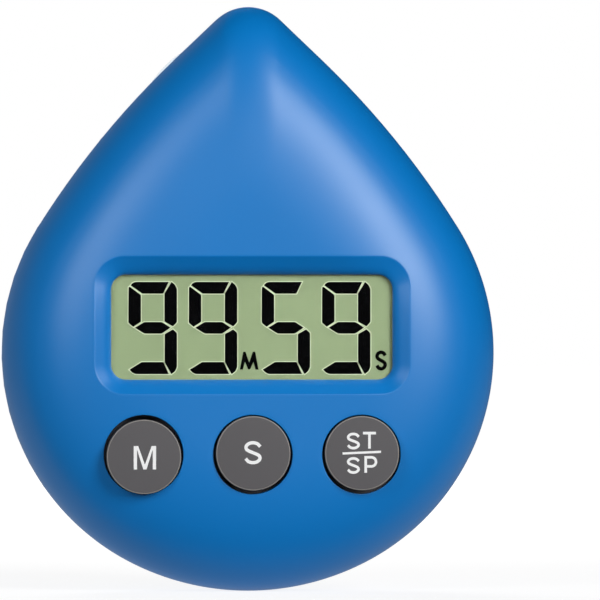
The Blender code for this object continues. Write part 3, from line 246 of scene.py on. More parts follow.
def moulded_plastic(name, tones, roughness, grain_depth, wave_depth=0.0, rim_highlight=None):
    """Satin plastic: tones and roughness in patches, grain over broad waves, and a painted rim
    highlight.

    Depths are in millimetres. The waves' normal goes into the grain's bump, which adds to it.
    """
    material, tree, shader, where = new_material(name, IOR=ABS_IOR)
    patches = {"Scale": per_mm(1 / POLISH_PATCH_MM), "Detail": 3.0}
    patch = add(tree, "TexNoise", patches, Vector=where).outputs["Fac"]
    tint = add(tree, "Mix", two_tones(*tones), Factor=patch).outputs[2]
    # Painted highlight: a paler tone is mixed in where the rim number marks the rounded edge.
    if rim_highlight:
        rim = add(tree, "Attribute", {"attribute_name": "rim"}).outputs["Fac"]
        painted_rim_tone = {**COLOURS, "n_7": linear(rim_highlight)}
        tint = add(tree, "Mix", painted_rim_tone, Factor=rim, n_6=tint).outputs[2]
    polish = add(tree, "MapRange", dict(zip(("To Min", "To Max"), roughness)), Value=patch)
    grain = add(tree, "TexNoise", {"Scale": per_mm(1 / GRAIN_MM), "Detail": 2.0}, Vector=where)
    bump = add(tree, "Bump", {"Distance": grain_depth / 1000}, Height=grain.outputs["Fac"])
    if wave_depth:
        waves = {"Scale": per_mm(1 / SHRINK_WAVE_MM), "Detail": 0.0}
        wave = add(tree, "TexNoise", waves, Vector=where).outputs["Fac"]
        broad = add(tree, "Bump", {"Distance": wave_depth / 1000}, Height=wave)
        feed(tree, bump, Normal=broad.outputs["Normal"])
    feed(tree, shader, Base_Color=tint, Roughness=polish.outputs["Result"])
    feed(tree, shader, Normal=bump.outputs["Normal"])
    return material


blue_tones, grey_tones = ("#007ecf", "#007aca"), ("#5b595b", "#565457")
blue_abs = moulded_plastic(
    "blue_spark_eroded_abs", blue_tones, (0.34, 0.41), grain_depth=0.0025, wave_depth=0.02
)
# The buttons' paler rim tone is a painted highlight along their rounded edges.
grey_abs = moulded_plastic(
    "grey_spark_eroded_abs", grey_tones, (0.46, 0.54), grain_depth=0.004, rim_highlight="#8f8b86"
)
print("plastics:", blue_abs.name, grey_abs.name)

# %% [markdown]
# ## Clear plastics
#
# The window is cast acrylic and the suction cup is soft PVC. Both bend light a little and mirror
# the room faintly. Lamps have to reach what lies behind them, and a path tracer finds such light
# slowly through glass, so the material lets shadow rays straight through. A breath of roughness
# keeps PVC from looking like glass, and half of what is behind it shows unbent, as through a thin
# soft sheet.

# %% Clear materials


def clear_material(name, tint, ior, roughness, wave_mm, wave_depth, unbent=0.0):
    """Clear plastic with faint waves. Lamps' light, and a share of all light, passes unbent."""
    values = {"Base_Color": linear(tint), "Transmission_Weight": 1.0}
    material, tree, shader, where = new_material(name, IOR=ior, Roughness=roughness, **values)
    wave = add(tree, "TexNoise", {"Scale": per_mm(1 / wave_mm), "Detail": 1.0}, Vector=where)
    bump = add(tree, "Bump", {"Distance": wave_depth / 1000}, Height=wave.outputs["Fac"])
    feed(tree, shader, Normal=bump.outputs["Normal"])
    ray = add(tree, "LightPath").outputs
    least = {"operation": "MAXIMUM", "n_1": unbent}
    share = add(tree, "Math", least, n_0=ray["Is Shadow Ray"]).outputs[0]
    through = add(tree, "BsdfTransparent", {"Color": linear(tint)}).outputs["BSDF"]
    mix = add(tree, "MixShader", None, Fac=share, n_1=shader.outputs["BSDF"], n_2=through)
    feed(tree, tree.nodes["Material Output"], Surface=mix.outputs["Shader"])
    return material


clear_acrylic = clear_material(
    "cast_clear_acrylic", "#fbfdfb", ior=1.49, roughness=0.02, wave_mm=12.0, wave_depth=0.01
)
pvc_waves = {"wave_mm": 5.0, "wave_depth": 0.05}
clear_pvc = clear_material(
    "moulded_clear_pvc", "#eef6fb", ior=1.46, roughness=0.08, unbent=0.5, **pvc_waves
)
print("clear plastics:", clear_acrylic.name, clear_pvc.name)

# %% [markdown]
# ## The drop's outline
#
# Seen from the front, the case is three tangent arcs a side and a round tip, with a straight
# stretch between the flank and the tip. Each arc starts in the direction where the last one
# ended, so only radii and headings are needed. An inset moves every arc inwards by the same
# amount: the radii shrink and the headings stay.

# %% Outline of the case, from (radius in mm, heading in degrees where the arc ends)
ARCS = ((39.2, 28.6), (35.9, 122.0), (132.0, 136.4))
TIP_RADIUS = 7.0
LEAST_TIP_RADIUS = 0.3
POINTS_PER_DEGREE = 0.8
FLANK_POINTS = 8
TIP_POINTS = 33


def side_of_drop(inset):
    """One side from the lowest point to the tip: arcs of (radius - inset), a flank, a round tip.

    A point on an arc is centre + radius (sin heading, -cos heading).
    """
    here, heading, runs = np.array((0.0, inset)), 0.0, []
    for radius, end in ARCS:
        count = int((end - heading) * POINTS_PER_DEGREE) + 2
        turn = np.radians(np.linspace(heading, end, count))
        round_it = np.column_stack((np.sin(turn), -np.cos(turn)))
        centre = here - (radius - inset) * round_it[0]
        runs.append(centre + (radius - inset) * round_it[:-1])
        here, heading = centre + (radius - inset) * round_it[-1], end
    radius = max(TIP_RADIUS - inset, LEAST_TIP_RADIUS)
    slope = math.radians(heading)
    flank = (here[0] - radius * math.sin(slope)) / -math.cos(slope)
    way = np.array((math.cos(slope), math.sin(slope)))
    runs.append(here + way * np.linspace(0, flank, FLANK_POINTS)[:-1, None])
    turn = np.radians(np.linspace(heading, 180, TIP_POINTS))
    tip = here + way * flank - radius * np.array((math.sin(slope), -math.cos(slope)))
    runs.append(tip + radius * np.column_stack((np.sin(turn), -np.cos(turn))))
    return np.concatenate(runs)


CASE_HEIGHT = side_of_drop(0.0)[-1, 1]
(BASE_RADIUS, BASE_END), (SIDE_RADIUS, _), _ = ARCS
WIDEST = BASE_RADIUS - (BASE_RADIUS - SIDE_RADIUS) * math.cos(math.radians(BASE_END)) - CASE_HEIGHT
CENTRE = np.array((0.0, WIDEST))


def drop_loop(inset=0.0):
    """The whole outline, counter-clockwise from the lowest point, with y measured from the tip."""
    side = side_of_drop(inset)
    mirrored = side[-2:0:-1] * (-1, 1)
    return np.concatenate((side[:-1], ((0.0, side[-1, 1]),), mirrored)) - (0.0, CASE_HEIGHT)


OUTLINE = drop_loop()
CASE_WIDTH = 2 * OUTLINE[:, 0].max()
print(f"outline: {CASE_WIDTH:.2f} mm wide, {CASE_HEIGHT:.2f} mm tall, {len(OUTLINE)} points")

# %% [markdown]
# ## The domed face
#
# The face rises from a short straight band and flattens out, like a cushion pressed against
# glass. Every level line is the outline shrunk about its widest place. How far it has shrunk and
# how high it stands follow a superellipse, which is steep at the edge and nearly flat on top.
# To ask for the height anywhere, the distance from the centre is set against the outline's
# distance in the same direction.

# %% Height of the face
DOME_BASE = 9.6
FACE_CROWN = 22.2
DOME_SQUARENESS = 4.5
CROWN_ANGLE = math.radians(10)
CROWN_SOFTNESS = 0.006
POINTS_A_SIDE = 24


def dome_height(share, crown=FACE_CROWN):
    """Base plus rise times the cosine of the superellipse's angle, levelled softly at the crown."""
    angle = np.arcsin(np.clip(share, 0, 1) ** (DOME_SQUARENESS / 2))
    rise = np.cos(angle) / math.cos(CROWN_ANGLE)
    rise = rise - CROWN_SOFTNESS * np.logaddexp(0, (rise - 1) / CROWN_SOFTNESS)
    return DOME_BASE + (crown - DOME_BASE) * rise


def share_of(points, loop):
    """Distance from the centre over the loop's in that direction: 0 at the centre, 1 on it."""
    ring = loop - CENTRE
    bearing = np.arctan2(ring[:, 1], ring[:, 0])
    order = np.argsort(bearing)
    offset = np.asarray(points) - CENTRE
    seen = np.arctan2(offset[..., 1], offset[..., 0])
    edge = np.interp(seen, bearing[order], np.hypot(*ring.T)[order], period=2 * math.pi)
    return np.hypot(offset[..., 0], offset[..., 1]) / edge


def dense(loop):
    """The loop with more points along each of its sides, so that straight sides stay straight."""
    along = np.linspace(0, 1, POINTS_A_SIDE, endpoint=False)[:, None, None]
    between = (1 - along) * loop + along * np.roll(loop, -1, axis=0)
    return between.swapaxes(0, 1).reshape(-1, 2)


FINE = dense(OUTLINE)


def face_height(points):
    """Height of the face over case points (x, y)."""
    return dome_height(share_of(points, FINE))


print(f"face: {face_height(CENTRE):.2f} mm above the back at its middle")

# %% [markdown]
# ## Openings in the face
#
# The display sits in a recess: a rounded rectangle on the face slopes down to a smaller one at
# the window. Its rim is crisp, the slope under it steepens inwards, and the thin lip at its end
# leans in by a tenth of a millimetre so that it leaves the mould, which draws a dark line above
# the display and a pale one below it. Each button has a round hole with a small moulded radius at
# its lip. All loops are worked out as points, so their edges are true curves and catch the light.

# %% Rounded rectangles, as (width, height, corner, drop), and rings
BEZEL = (47.7, 20.8, 4.5, 48.4)
WINDOW = (42.8, 16.1, 2.4, 48.7)
CORNER_POINTS = 17
SIDE_POINTS = (48, 18, 48, 18)
RING_POINTS = 96


def rounded_loop(width, height, corner, drop, grow=0.0):
    """Quarter circles at four corners and points between, counter-clockwise, grown outwards."""
    half = np.array((width / 2, height / 2)) - corner
    radius = corner + grow
    quarter = np.radians(np.linspace(0, 90, CORNER_POINTS))
    arcs = []
    for turn, signs in zip((0, 90, 180, 270), ((1, 1), (-1, 1), (-1, -1), (1, -1))):
        angle = quarter + math.radians(turn)
        arcs.append(half * signs + radius * np.column_stack((np.cos(angle), np.sin(angle))))
    loop = []
    for arc, following, count in zip(arcs, arcs[1:] + arcs[:1], SIDE_POINTS):
        along = np.linspace(0, 1, count + 2)[1:-1, None]
        loop += [arc, arc[-1] * (1 - along) + following[0] * along]
    return np.concatenate(loop) + (0.0, -drop)


def ring_loop(radius, x, drop):
    """A circle of points, counter-clockwise."""
    turn = 2 * math.pi * np.arange(RING_POINTS) / RING_POINTS
    return np.column_stack((x + radius * np.cos(turn), -drop + radius * np.sin(turn)))


def lift(loop, height):
    """Adds a height, one number or one a point, to a flat loop."""
    return np.column_stack((loop, np.broadcast_to(height, len(loop))))


def off_rectangle(points, width, height, corner, drop, grow=0.0):
    """Distance outside a rounded rectangle: past its corner circles' middles, less their radius."""
    past = np.abs(points - (0.0, -drop)) - (np.array((width, height)) / 2 - corner)
    outside, within = np.hypot(*np.maximum(past, 0).T), np.minimum(past.max(axis=1), 0)
    return outside + within - corner - grow


def off_ring(points, radius, x, drop):
    """Distance outside a circle."""
    return np.hypot(*(points - (x, -drop)).T) - radius


# %% [markdown]
# ## Filling the face between its openings
#
# The band near the edge is a plain grid of shrunken outlines. Inside it the openings get in the
# way of any grid, so that part is filled with a net of triangles that has to keep every loop as
# an edge. The net is flat at first and each point is then lifted to the height of the face.

# %% A net of triangles that respects loops
FACE_NET_MM = 0.9
LINING_NET_MM = 1.6
NET_MARGIN = 0.55
SLIVER_MM2 = 1e-6
SAME_POINT_MM = 1e-7
WHOLE_HULL, INSIDE_LOOPS = 0, 1


def triangles_over(points, loop_sizes, extent):
    """Triangles over flat points. The first points are loops of these sizes, kept as edges."""
    edges, start = [], 0
    for size in loop_sizes:
        index = start + np.arange(size)
        edges += np.column_stack((index, np.roll(index, -1))).tolist()
        start += size
    flat = [Vector(point) for point in points.tolist()]
    found = delaunay_2d_cdt(flat, edges, [], extent, SAME_POINT_MM)
    source = np.array([origin[0] for origin in found[3]])
    return source[np.array(found[2])]


def net(outer, openings, inside, height, spacing):
    """Triangles between an outer loop and openings; loops carry heights, the rest is lifted."""
    low, high = outer[:, :2].min(0), outer[:, :2].max(0)
    rows = np.arange(low[1], high[1], spacing * math.sqrt(3) / 2)
    x, y = np.meshgrid(np.arange(low[0], high[0], spacing), rows)
    x[1::2] += spacing / 2
    fill = np.column_stack((x.ravel(), y.ravel()))
    fill = fill[inside(fill, NET_MARGIN * spacing)]
    loops = [outer, *openings]
    points = np.concatenate([*loops, lift(fill, height(fill))])
    triangles = triangles_over(points[:, :2], [len(loop) for loop in loops], WHOLE_HULL)
    a, b, c = (points[triangles[:, k], :2] for k in range(3))
    area = 0.5 * np.abs((b - a)[:, 0] * (c - a)[:, 1] - (b - a)[:, 1] * (c - a)[:, 0])
    kept = triangles[inside((a + b + c) / 3, 0.0) & (area > SLIVER_MM2)]
    return upright(points), kept


# %% [markdown]
# ## The front half of the case
#
# Its skin runs from the inner edge at the parting line, out round the edge, up over the dome,
# down through the openings and back along the inside, so it is one closed wall of 2 mm, as
# moulded. The inner skin is level under the face, where the display and the buttons are seated.
# A recess or a hole is a stack of loops from the face down, which a grid joins.

# %% Stacks of loops for the dome, the recess and the holes
WALL = 2.0
NET_ANGLE = math.radians(46)
WINDOW_LIP = 19.95
WINDOW_SEAT = 19.8
LIP_DRAFT = 0.12
LIP_FOOT = 19.65
RIM_ROUNDING = 0.05
RIM_REACH = 0.6
RIM_END = 0.4
RIM_ROWS = 17
SLOPE_START = 0.5
SLOPE_ROWS = 12
SLOPE_STRAIGHT = 0.8
SLOPE_POWER = 6
BUTTON_DROP = 67.92
BUTTON_PITCH = 16.45
BUTTON_X = (-BUTTON_PITCH, 0.0, BUTTON_PITCH)
HOLE_RADIUS = 5.98
HOLE_LIP = 0.12
LIP_STEPS = 8
COLLAR_END = 18.3
BORE_STEPS = (0.35, 0.7, 1.0)


def share_at(angle):
    """How much the outline has shrunk at an angle of the superellipse."""
    return np.sin(angle) ** (2 / DOME_SQUARENESS)


def dome_rows(loop, crown, steps):
    """Rings from the band to where the net of triangles begins."""
    rows = []
    for angle in np.linspace(math.pi / 2, NET_ANGLE, steps):
        ring = CENTRE + (loop - CENTRE) * share_at(angle)
        rows.append(lift(ring, dome_height(share_at(angle), crown)))
    return rows


def block(rows):
    """A closed grid from rows of case points."""
    rows = np.array(rows)
    return upright(rows.reshape(-1, 3)), grid_faces(rows.shape[0], rows.shape[1])


def recess_rows():
    """From the face over the rim, down the slope to the lip of the window and its seat.

    A softplus of the distance past the rim rounds it. The fall is a straight share of that
    and a share of its sixth power.
    """
    rim = rounded_loop(*BEZEL)
    rim_height = face_height(rim)
    depth = rim_height - WINDOW_LIP
    window = rounded_loop(*WINDOW)
    reach = (BEZEL[0] - WINDOW[0]) / 2
    over_rim = np.linspace(-RIM_REACH, RIM_END, RIM_ROWS)
    down_slope = np.linspace(SLOPE_START, reach, SLOPE_ROWS)
    rows = []
    for step in (*over_rim, *down_slope):
        inwards = RIM_ROUNDING * np.logaddexp(0, step / RIM_ROUNDING) / reach
        curled = (1 - SLOPE_STRAIGHT) * inwards**SLOPE_POWER
        fallen = depth * (SLOPE_STRAIGHT * inwards + curled)
        if step < 0:
            ring = rounded_loop(*BEZEL, grow=-step)
            rows.append(lift(ring, face_height(ring) - fallen))
        else:
            t = step / reach
            rows.append(lift(rim * (1 - t) + window * t, rim_height - fallen))
    rows[0][:, 2] = face_height(rows[0][:, :2])
    rows.append(lift(rounded_loop(*WINDOW, grow=-LIP_DRAFT), LIP_FOOT))
    return rows


def hole_rows(x):
    """From the face over a quarter-round lip and straight down a button's hole."""
    rows = []
    for angle in np.radians(np.linspace(0, 90, LIP_STEPS)):
        ring = ring_loop(HOLE_RADIUS + HOLE_LIP * (1 - math.sin(angle)), x, BUTTON_DROP)
        rows.append(lift(ring, face_height(ring) - HOLE_LIP * (1 - math.cos(angle))))
    bore = ring_loop(HOLE_RADIUS, x, BUTTON_DROP)
    top = rows[-1][:, 2]
    rows += [lift(bore, top * (1 - t) + COLLAR_END * t) for t in BORE_STEPS]
    return rows


# %% Where the two nets of triangles may lie
INNER = drop_loop(WALL)
INNER_FINE = dense(INNER)
POCKET = (45.8, 21.1, 0.6, 47.7)
FLANGE_ROOM = 7.15
MEAN_REACH = 36  # about, from the centre to the outline


def outside_clear(points, margin):
    """True on the face, inside the first ring and clear of the recess and the holes."""
    clear = share_of(points, FINE) < share_at(NET_ANGLE) - margin / MEAN_REACH
    clear &= off_rectangle(points, *BEZEL, grow=RIM_REACH) > margin
    for x in BUTTON_X:
        clear &= off_ring(points, HOLE_RADIUS + HOLE_LIP, x, BUTTON_DROP) > margin
    return clear


def inner_height(points):
    """The inside of the dome, level at the window's seat and level round each button."""
    dome = dome_height(share_of(points, INNER_FINE), FACE_CROWN - WALL)
    height = np.minimum(dome, WINDOW_SEAT)
    height = np.where(off_rectangle(points, *POCKET) < 0, WINDOW_SEAT, height)
    for x in BUTTON_X:
        height = np.where(off_ring(points, FLANGE_ROOM, x, BUTTON_DROP) < 0, COLLAR_END, height)
    return height


def inside_clear(points, margin):
    """True on the inner skin, clear of the window, the holes and the steps round them."""
    clear = share_of(points, INNER_FINE) < share_at(NET_ANGLE) - margin / MEAN_REACH
    clear &= off_rectangle(points, *WINDOW, grow=-LIP_DRAFT) > margin
    clear &= np.abs(off_rectangle(points, *POCKET)) >= margin
    for x in BUTTON_X:
        clear &= off_ring(points, HOLE_RADIUS, x, BUTTON_DROP) > margin
        clear &= np.abs(off_ring(points, FLANGE_ROOM, x, BUTTON_DROP)) >= margin
    return clear


# %% Build the front shell
PARTING = 8.0
BAND_TOP = PARTING + 0.8
EDGE_BREAK = 0.15
BREAK_SHARE = 0.3
OUTER_RINGS = 40
INNER_RINGS = 14
STEP_HALF = 0.02


def build_front_shell():
    """Edge band and dome, recess, holes, and the inner skin, welded into one wall."""
    outer_dome = dome_rows(OUTLINE, FACE_CROWN, OUTER_RINGS)
    corner = EDGE_BREAK * BREAK_SHARE
    edge = [
        lift(INNER, PARTING),
        lift(drop_loop(EDGE_BREAK), PARTING),
        lift(drop_loop(corner), PARTING + corner),
        lift(OUTLINE, PARTING + EDGE_BREAK),
        lift(OUTLINE, BAND_TOP),
    ]
    recess, holes = recess_rows(), [hole_rows(x) for x in BUTTON_X]
    openings = [recess[0], *(rows[0] for rows in holes)]
    face = net(outer_dome[-1], openings, outside_clear, face_height, FACE_NET_MM)
    inner_dome = dome_rows(INNER, FACE_CROWN - WALL, INNER_RINGS)
    steps = []
    for x in BUTTON_X:
        for off in (-STEP_HALF, STEP_HALF):
            steps.append(ring_loop(FLANGE_ROOM + off, x, BUTTON_DROP))
    steps += [rounded_loop(*POCKET, grow=off) for off in (-STEP_HALF, STEP_HALF)]
    openings = [recess[-1], *(rows[-1] for rows in holes)]
    openings += [lift(step, inner_height(step)) for step in steps]
    lining = net(inner_dome[-1], openings, inside_clear, inner_height, LINING_NET_MM)
    inner_band = [lift(INNER, PARTING), lift(INNER, BAND_TOP), *inner_dome]
    blocks = [block(edge + outer_dome), face, block(recess)]
    blocks += [*(block(rows) for rows in holes), block(inner_band), lining]
    return make_piece("front_shell", blocks, blue_abs, "case", ["front_housing"], "blue_abs", 50)


build_front_shell()

# %% [markdown]
# ## Push buttons
#
# Each button is a nearly flat cap with a finely rounded edge that stands just proud of the face.
# A profile turned about the button's axis is all it needs, and the same profile goes on down to
# the flange that keeps the cap in the case. Loose in their holes, the left cap hangs low and the
# other two sit a little high, as in the photograph.

# %% Turn a profile about an axis


def turned_block(profile, x, drop, sides):
    """Rings at (radius, height) pairs round one axis; a radius of zero makes a pole."""
    profile = np.asarray(profile, float)
    turn = 2 * math.pi * np.arange(sides) / sides
    radius, height = profile[:, 0, None], profile[:, 1, None]
    across, along = x + radius * np.cos(turn), -drop + radius * np.sin(turn)
    rows = np.stack((across, along, height + 0 * turn), axis=-1)
    return upright(rows.reshape(-1, 3)), grid_faces(len(profile), sides)


def arc_points(x, y, radius, start, end, count):
    """Points (x + radius cos a, y + radius sin a), for angles a between two in degrees."""
    angle = np.radians(np.linspace(start, end, count))
    return np.column_stack((x + radius * np.cos(angle), y + radius * np.sin(angle))).tolist()


# %% Caps in their holes
CAP_RADIUS = 5.6
CAP_PROUD = 0.8
CAP_ROUNDING = 0.12
CAP_CROWN = 0.08
CAP_RINGS = 15
CAP_EDGE = (86, 0, 9)  # from and to in degrees, and points
CAP_SIDES = 128
CAP_SHIFT = {"minute": (0.02, -0.32), "second": (0.03, 0.20), "start_stop": (0.04, 0.20)}
RIM_WIDTH = 0.06
FLANGE_RADIUS = 6.85
FLANGE_LOW = 17.2
FLANGE_HIGH = 18.0
POST_RADIUS = 1.6
CAP_WALL = 1.1


def cap_profile(top):
    """From the middle of the cap over its rounded edge to the flange, and back up the hollow.

    The crown falls by the square of the distance from the axis.
    """
    shoulder = top - CAP_CROWN
    flat = CAP_RADIUS - CAP_ROUNDING
    rings = (*np.linspace(0, flat - RIM_WIDTH, CAP_RINGS), flat)
    crown = [(r, top - CAP_CROWN * (r / flat) ** 2) for r in rings]
    edge = arc_points(flat, shoulder - CAP_ROUNDING, CAP_ROUNDING, *CAP_EDGE)
    inner, ceiling = CAP_RADIUS - CAP_WALL, shoulder - CAP_WALL
    skirt = [(CAP_RADIUS, FLANGE_HIGH), (FLANGE_RADIUS, FLANGE_HIGH), (FLANGE_RADIUS, FLANGE_LOW)]
    hollow = [(inner, FLANGE_LOW), (inner, ceiling), (POST_RADIUS, ceiling)]
    return crown + edge + skirt + hollow + [(POST_RADIUS, FLANGE_LOW), (0, FLANGE_LOW)]


# The rim number places the painted highlight on each cap's edge.
def mark_rim(cap, x, drop, top):
    """Stores 1 on the cap's rounded edge, less just inside it and 0 elsewhere."""
    mesh = cap.data
    points = np.empty(len(mesh.vertices) * 3)
    mesh.vertices.foreach_get("co", points)
    across, deep, up = points.reshape(-1, 3).T * 1000
    radius = np.hypot(across - x, up - (MAGNET_DROP - drop))
    inside = np.clip((radius - (CAP_RADIUS - CAP_ROUNDING - RIM_WIDTH)) / RIM_WIDTH, 0, 1)
    near_top = -deep - MAGNET_PROUD > top - 2 * CAP_ROUNDING
    rim = mesh.attributes.new("rim", "FLOAT", "POINT")
    rim.data.foreach_set("value", inside**2 * near_top)


BUTTONS = {}
for (button, (aside, up)), hole_x in zip(CAP_SHIFT.items(), BUTTON_X):
    top = float(face_height(np.array([[hole_x, -BUTTON_DROP]]))[0]) + CAP_PROUD
    x, drop = hole_x + aside, BUTTON_DROP - up
    blocks, stands_for = [turned_block(cap_profile(top), x, drop, CAP_SIDES)], [f"{button}_button"]
    cap = make_piece(
        f"{button}_cap", blocks, grey_abs, f"{button}_key", stands_for, "grey_abs", sharp=35
    )
    mark_rim(cap, x, drop, top)
    BUTTONS[button] = (x, drop, top)
print("button tops, mm above the back:", {k: round(v[2], 2) for k, v in BUTTONS.items()})

# %% [markdown]
# ## Printed legends
#
# The buttons carry plain white letters for minutes, seconds and start over stop, pad-printed in
# ink about a fiftieth of a millimetre thick. Each letter is drawn as a pen of constant width
# would draw it: the two sides of a stroke are its path moved to the left and to the right.

# %% Strokes of a pen
LEAST_MITRE = 0.35
CURVE_SAMPLES = 8


def stroke(path, width):
    """A closed flat loop: the path moved half a width to each side, with corners mitred."""
    path = np.asarray(path, float)
    step = np.diff(path, axis=0)
    step /= np.hypot(*step.T)[:, None]
    side = np.column_stack((-step[:, 1], step[:, 0]))
    before, after = np.vstack((side[:1], side)), np.vstack((side, side[-1:]))
    mitre = before + after
    mitre /= np.maximum((mitre * before).sum(axis=1, keepdims=True), LEAST_MITRE)
    return np.concatenate((path + mitre * width / 2, (path - mitre * width / 2)[::-1]))


def smooth_path(knots, samples=CURVE_SAMPLES):
    """Cubics through the knots, whose slope at one is half the step between its neighbours."""
    knots = np.asarray(knots, float)
    slope = np.gradient(knots, axis=0)
    t = np.linspace(0, 1, samples, endpoint=False)[None, :, None]
    run = (2 * t**3 - 3 * t**2 + 1) * knots[:-1, None] + (3 * t**2 - 2 * t**3) * knots[1:, None]
    run += (t**3 - 2 * t**2 + t) * slope[:-1, None] + (t**3 - t**2) * slope[1:, None]
    return np.vstack((run.reshape(-1, knots.shape[1]), knots[-1:]))


# %% Letters about their middle, each from its height, its width and the pen
M_SHOULDER, M_VALLEY, M_NOTCH, M_FOOT = 1.35, 1.45, 1.1, 0.48
BOWL_SHARE = 0.27
BOWL_BEND = (90, -90, 20)  # from and to in degrees, and points
HALF_S = np.array(
    (
        (0.96, 0.6), (0.56, 0.9), (0.0, 1.0), (-0.56, 0.9),
        (-0.9, 0.62), (-0.82, 0.32), (-0.42, 0.13), (0, 0),
    )
)


def letter_m(height, width, pen):
    """One outline: two upright stems and a V between them that reaches the foot of the letter."""
    x, y = width / 2, height / 2
    shoulder = x - M_SHOULDER * pen
    right = [(-shoulder, y), (0, M_VALLEY * pen - y), (shoulder, y), (x, y), (x, -y)]
    under = [(x - pen, -y), (x - pen, y - M_NOTCH * pen), (M_FOOT * pen, -y)]
    return [np.array([(-x, -y), (-x, y), *right, *under, *((-u, v) for u, v in under[::-1])])]


def letter_s(height, width, pen):
    """A smooth path down to the middle of the slanting spine, and the same path turned round."""
    path = np.concatenate((HALF_S, -HALF_S[-2::-1])) * ((width - pen) / 2, (height - pen) / 2)
    return [stroke(smooth_path(path), pen)]


def letter_t(height, width, pen):
    """A bar and, under it, a stem."""
    y = height / 2
    bar = stroke([(-width / 2, y - pen / 2), (width / 2, y - pen / 2)], pen)
    return [bar, stroke([(0, y - pen), (0, -y)], pen)]


def letter_p(height, width, pen):
    """A stem, and a bowl that starts and ends at it."""
    y, left = height / 2, -width / 2 + pen
    bowl = height * BOWL_SHARE
    bowl_y = y - pen / 2 - bowl
    bend = arc_points(width / 2 - pen / 2 - bowl, bowl_y, bowl, *BOWL_BEND)
    stem = stroke([(left - pen / 2, -y), (left - pen / 2, y)], pen)
    return [stem, stroke([(left, y - pen / 2), *bend, (left, bowl_y - bowl)], pen)]


def slanted_line(height, width, pen):
    """A line that rises by the height over the width."""
    return [stroke([(-width / 2, -height / 2), (width / 2, height / 2)], pen)]


def write(signs):
    """The flat loops of signs given as (shape, height, width, pen, x, y) in mm."""
    loops = []
    for shape, height, width, pen, x, y in signs:
        loops += [loop + (x, y) for loop in shape(height, width, pen)]
    return loops


def plates(loops, x, y, low, high):
    """Each flat loop, moved by (x, y), as a closed plate between two heights."""
    blocks = []
    for loop in loops:
        loop = np.asarray(loop) + (x, y)
        count = len(loop)
        lids = triangles_over(loop, [count], INSIDE_LOOPS)
        points = upright(np.concatenate((lift(loop, low), lift(loop, high))))
        blocks.append((points, grid_faces(2, count), lids, lids[:, ::-1] + count))
    return blocks


# %% White ink and other plain layers
ROUGHNESS_SPREAD = 0.06


def mottled(name, light, dark, patch_mm, rough, relief=0.0, along=(1.0, 1.0, 1.0), **values):
    """Two close colours and a roughness that wander in patches, with a relief in mm.

    The patches are stretched where a share along an axis is below one.
    """
    material, tree, shader, where = new_material(name, **values)
    stretch = {"operation": "MULTIPLY", "n_1": along}
    drawn = add(tree, "VectorMath", stretch, n_0=where).outputs["Vector"]
    patches = {"Scale": per_mm(1 / patch_mm), "Detail": 3.0}
    patch = add(tree, "TexNoise", patches, Vector=drawn).outputs["Fac"]
    tint = add(tree, "Mix", two_tones(light, dark), Factor=patch)
    limits = {"To Min": rough - ROUGHNESS_SPREAD, "To Max": rough + ROUGHNESS_SPREAD}
    polish = add(tree, "MapRange", limits, Value=patch)
    feed(tree, shader, Base_Color=tint.outputs[2], Roughness=polish.outputs["Result"])
    if relief:
        bump = add(tree, "Bump", {"Distance": relief / 1000}, Height=patch)
        feed(tree, shader, Normal=bump.outputs["Normal"])
    return material


white_ink = mottled("white_pad_print_ink", "#ffffff", "#f6f7f7", 0.2, 0.5, 0.002)

# %% Letters on the caps
INK = 0.02
LETTER_PEN = 0.5
SMALL_PEN = 0.4
LINE_WIDTH = 0.34
PLATE = {"sharp": 30, "weld": False}
LEGENDS = {
    "minute": [(letter_m, 3.53, 3.37, LETTER_PEN, 0.13, -0.12)],
    "second": [(letter_s, 3.50, 2.80, LETTER_PEN, -0.06, 0.11)],
    "start_stop": [
        (letter_s, 2.53, 2.10, SMALL_PEN, -1.33, 1.84),
        (letter_t, 2.53, 1.95, SMALL_PEN, 1.10, 1.97),
        (slanted_line, 0.26, 5.82, LINE_WIDTH, -0.06, 0.09),
        (letter_s, 2.53, 2.10, SMALL_PEN, -1.33, -1.84),
        (letter_p, 2.53, 1.95, SMALL_PEN, 1.31, -1.68),
    ],
}
for button, legend in LEGENDS.items():
    x, drop, top = BUTTONS[button]
    print_on = plates(write(legend), x, -drop, top - 2 * CAP_CROWN, top + INK)
    make_piece(
        f"{button}_legend", print_on, white_ink, f"{button}_key", slot="grey_abs", **PLATE
    )

# %% [markdown]
# ## The display
#
# Behind the acrylic window a liquid-crystal cell shows black figures on grey green. That colour
# is what the eye gets from polariser, glass and reflector together, so the cell is drawn as its
# front plate with a matt polariser bonded to it, and the figures just above that. The plate comes
# up close behind a thin window, so the lip casts only a narrow shadow on it. A figure is up to
# seven separate bars with mitred ends, and a hair of paler, cleared cell runs round each of them.

# %% Layers of the display
film = mottled("grey_green_polariser_film", "#7e8c69", "#859370", 0.33, 0.42, 0.004, IOR=1.45)
BLACKED = {"Specular_IOR_Level": 0.0}
figure_black = mottled("dark_liquid_crystal", "#030304", "#060607", 0.25, 0.9, **BLACKED)
cleared_cell = mottled("cleared_liquid_crystal", "#c6cfb0", "#d0d7bc", 0.5, 0.9, **BLACKED)
WINDOW_SHEET = (19.22, 19.6)
FILM_PLATE = (17.8, 19.06)
FIGURE_HEIGHTS = (19.09, 19.12)
HALO_HEIGHTS = (19.065, 19.08)
PLATE_CORNER = 0.4
print("display layers:", film.name, figure_black.name, cleared_cell.name)

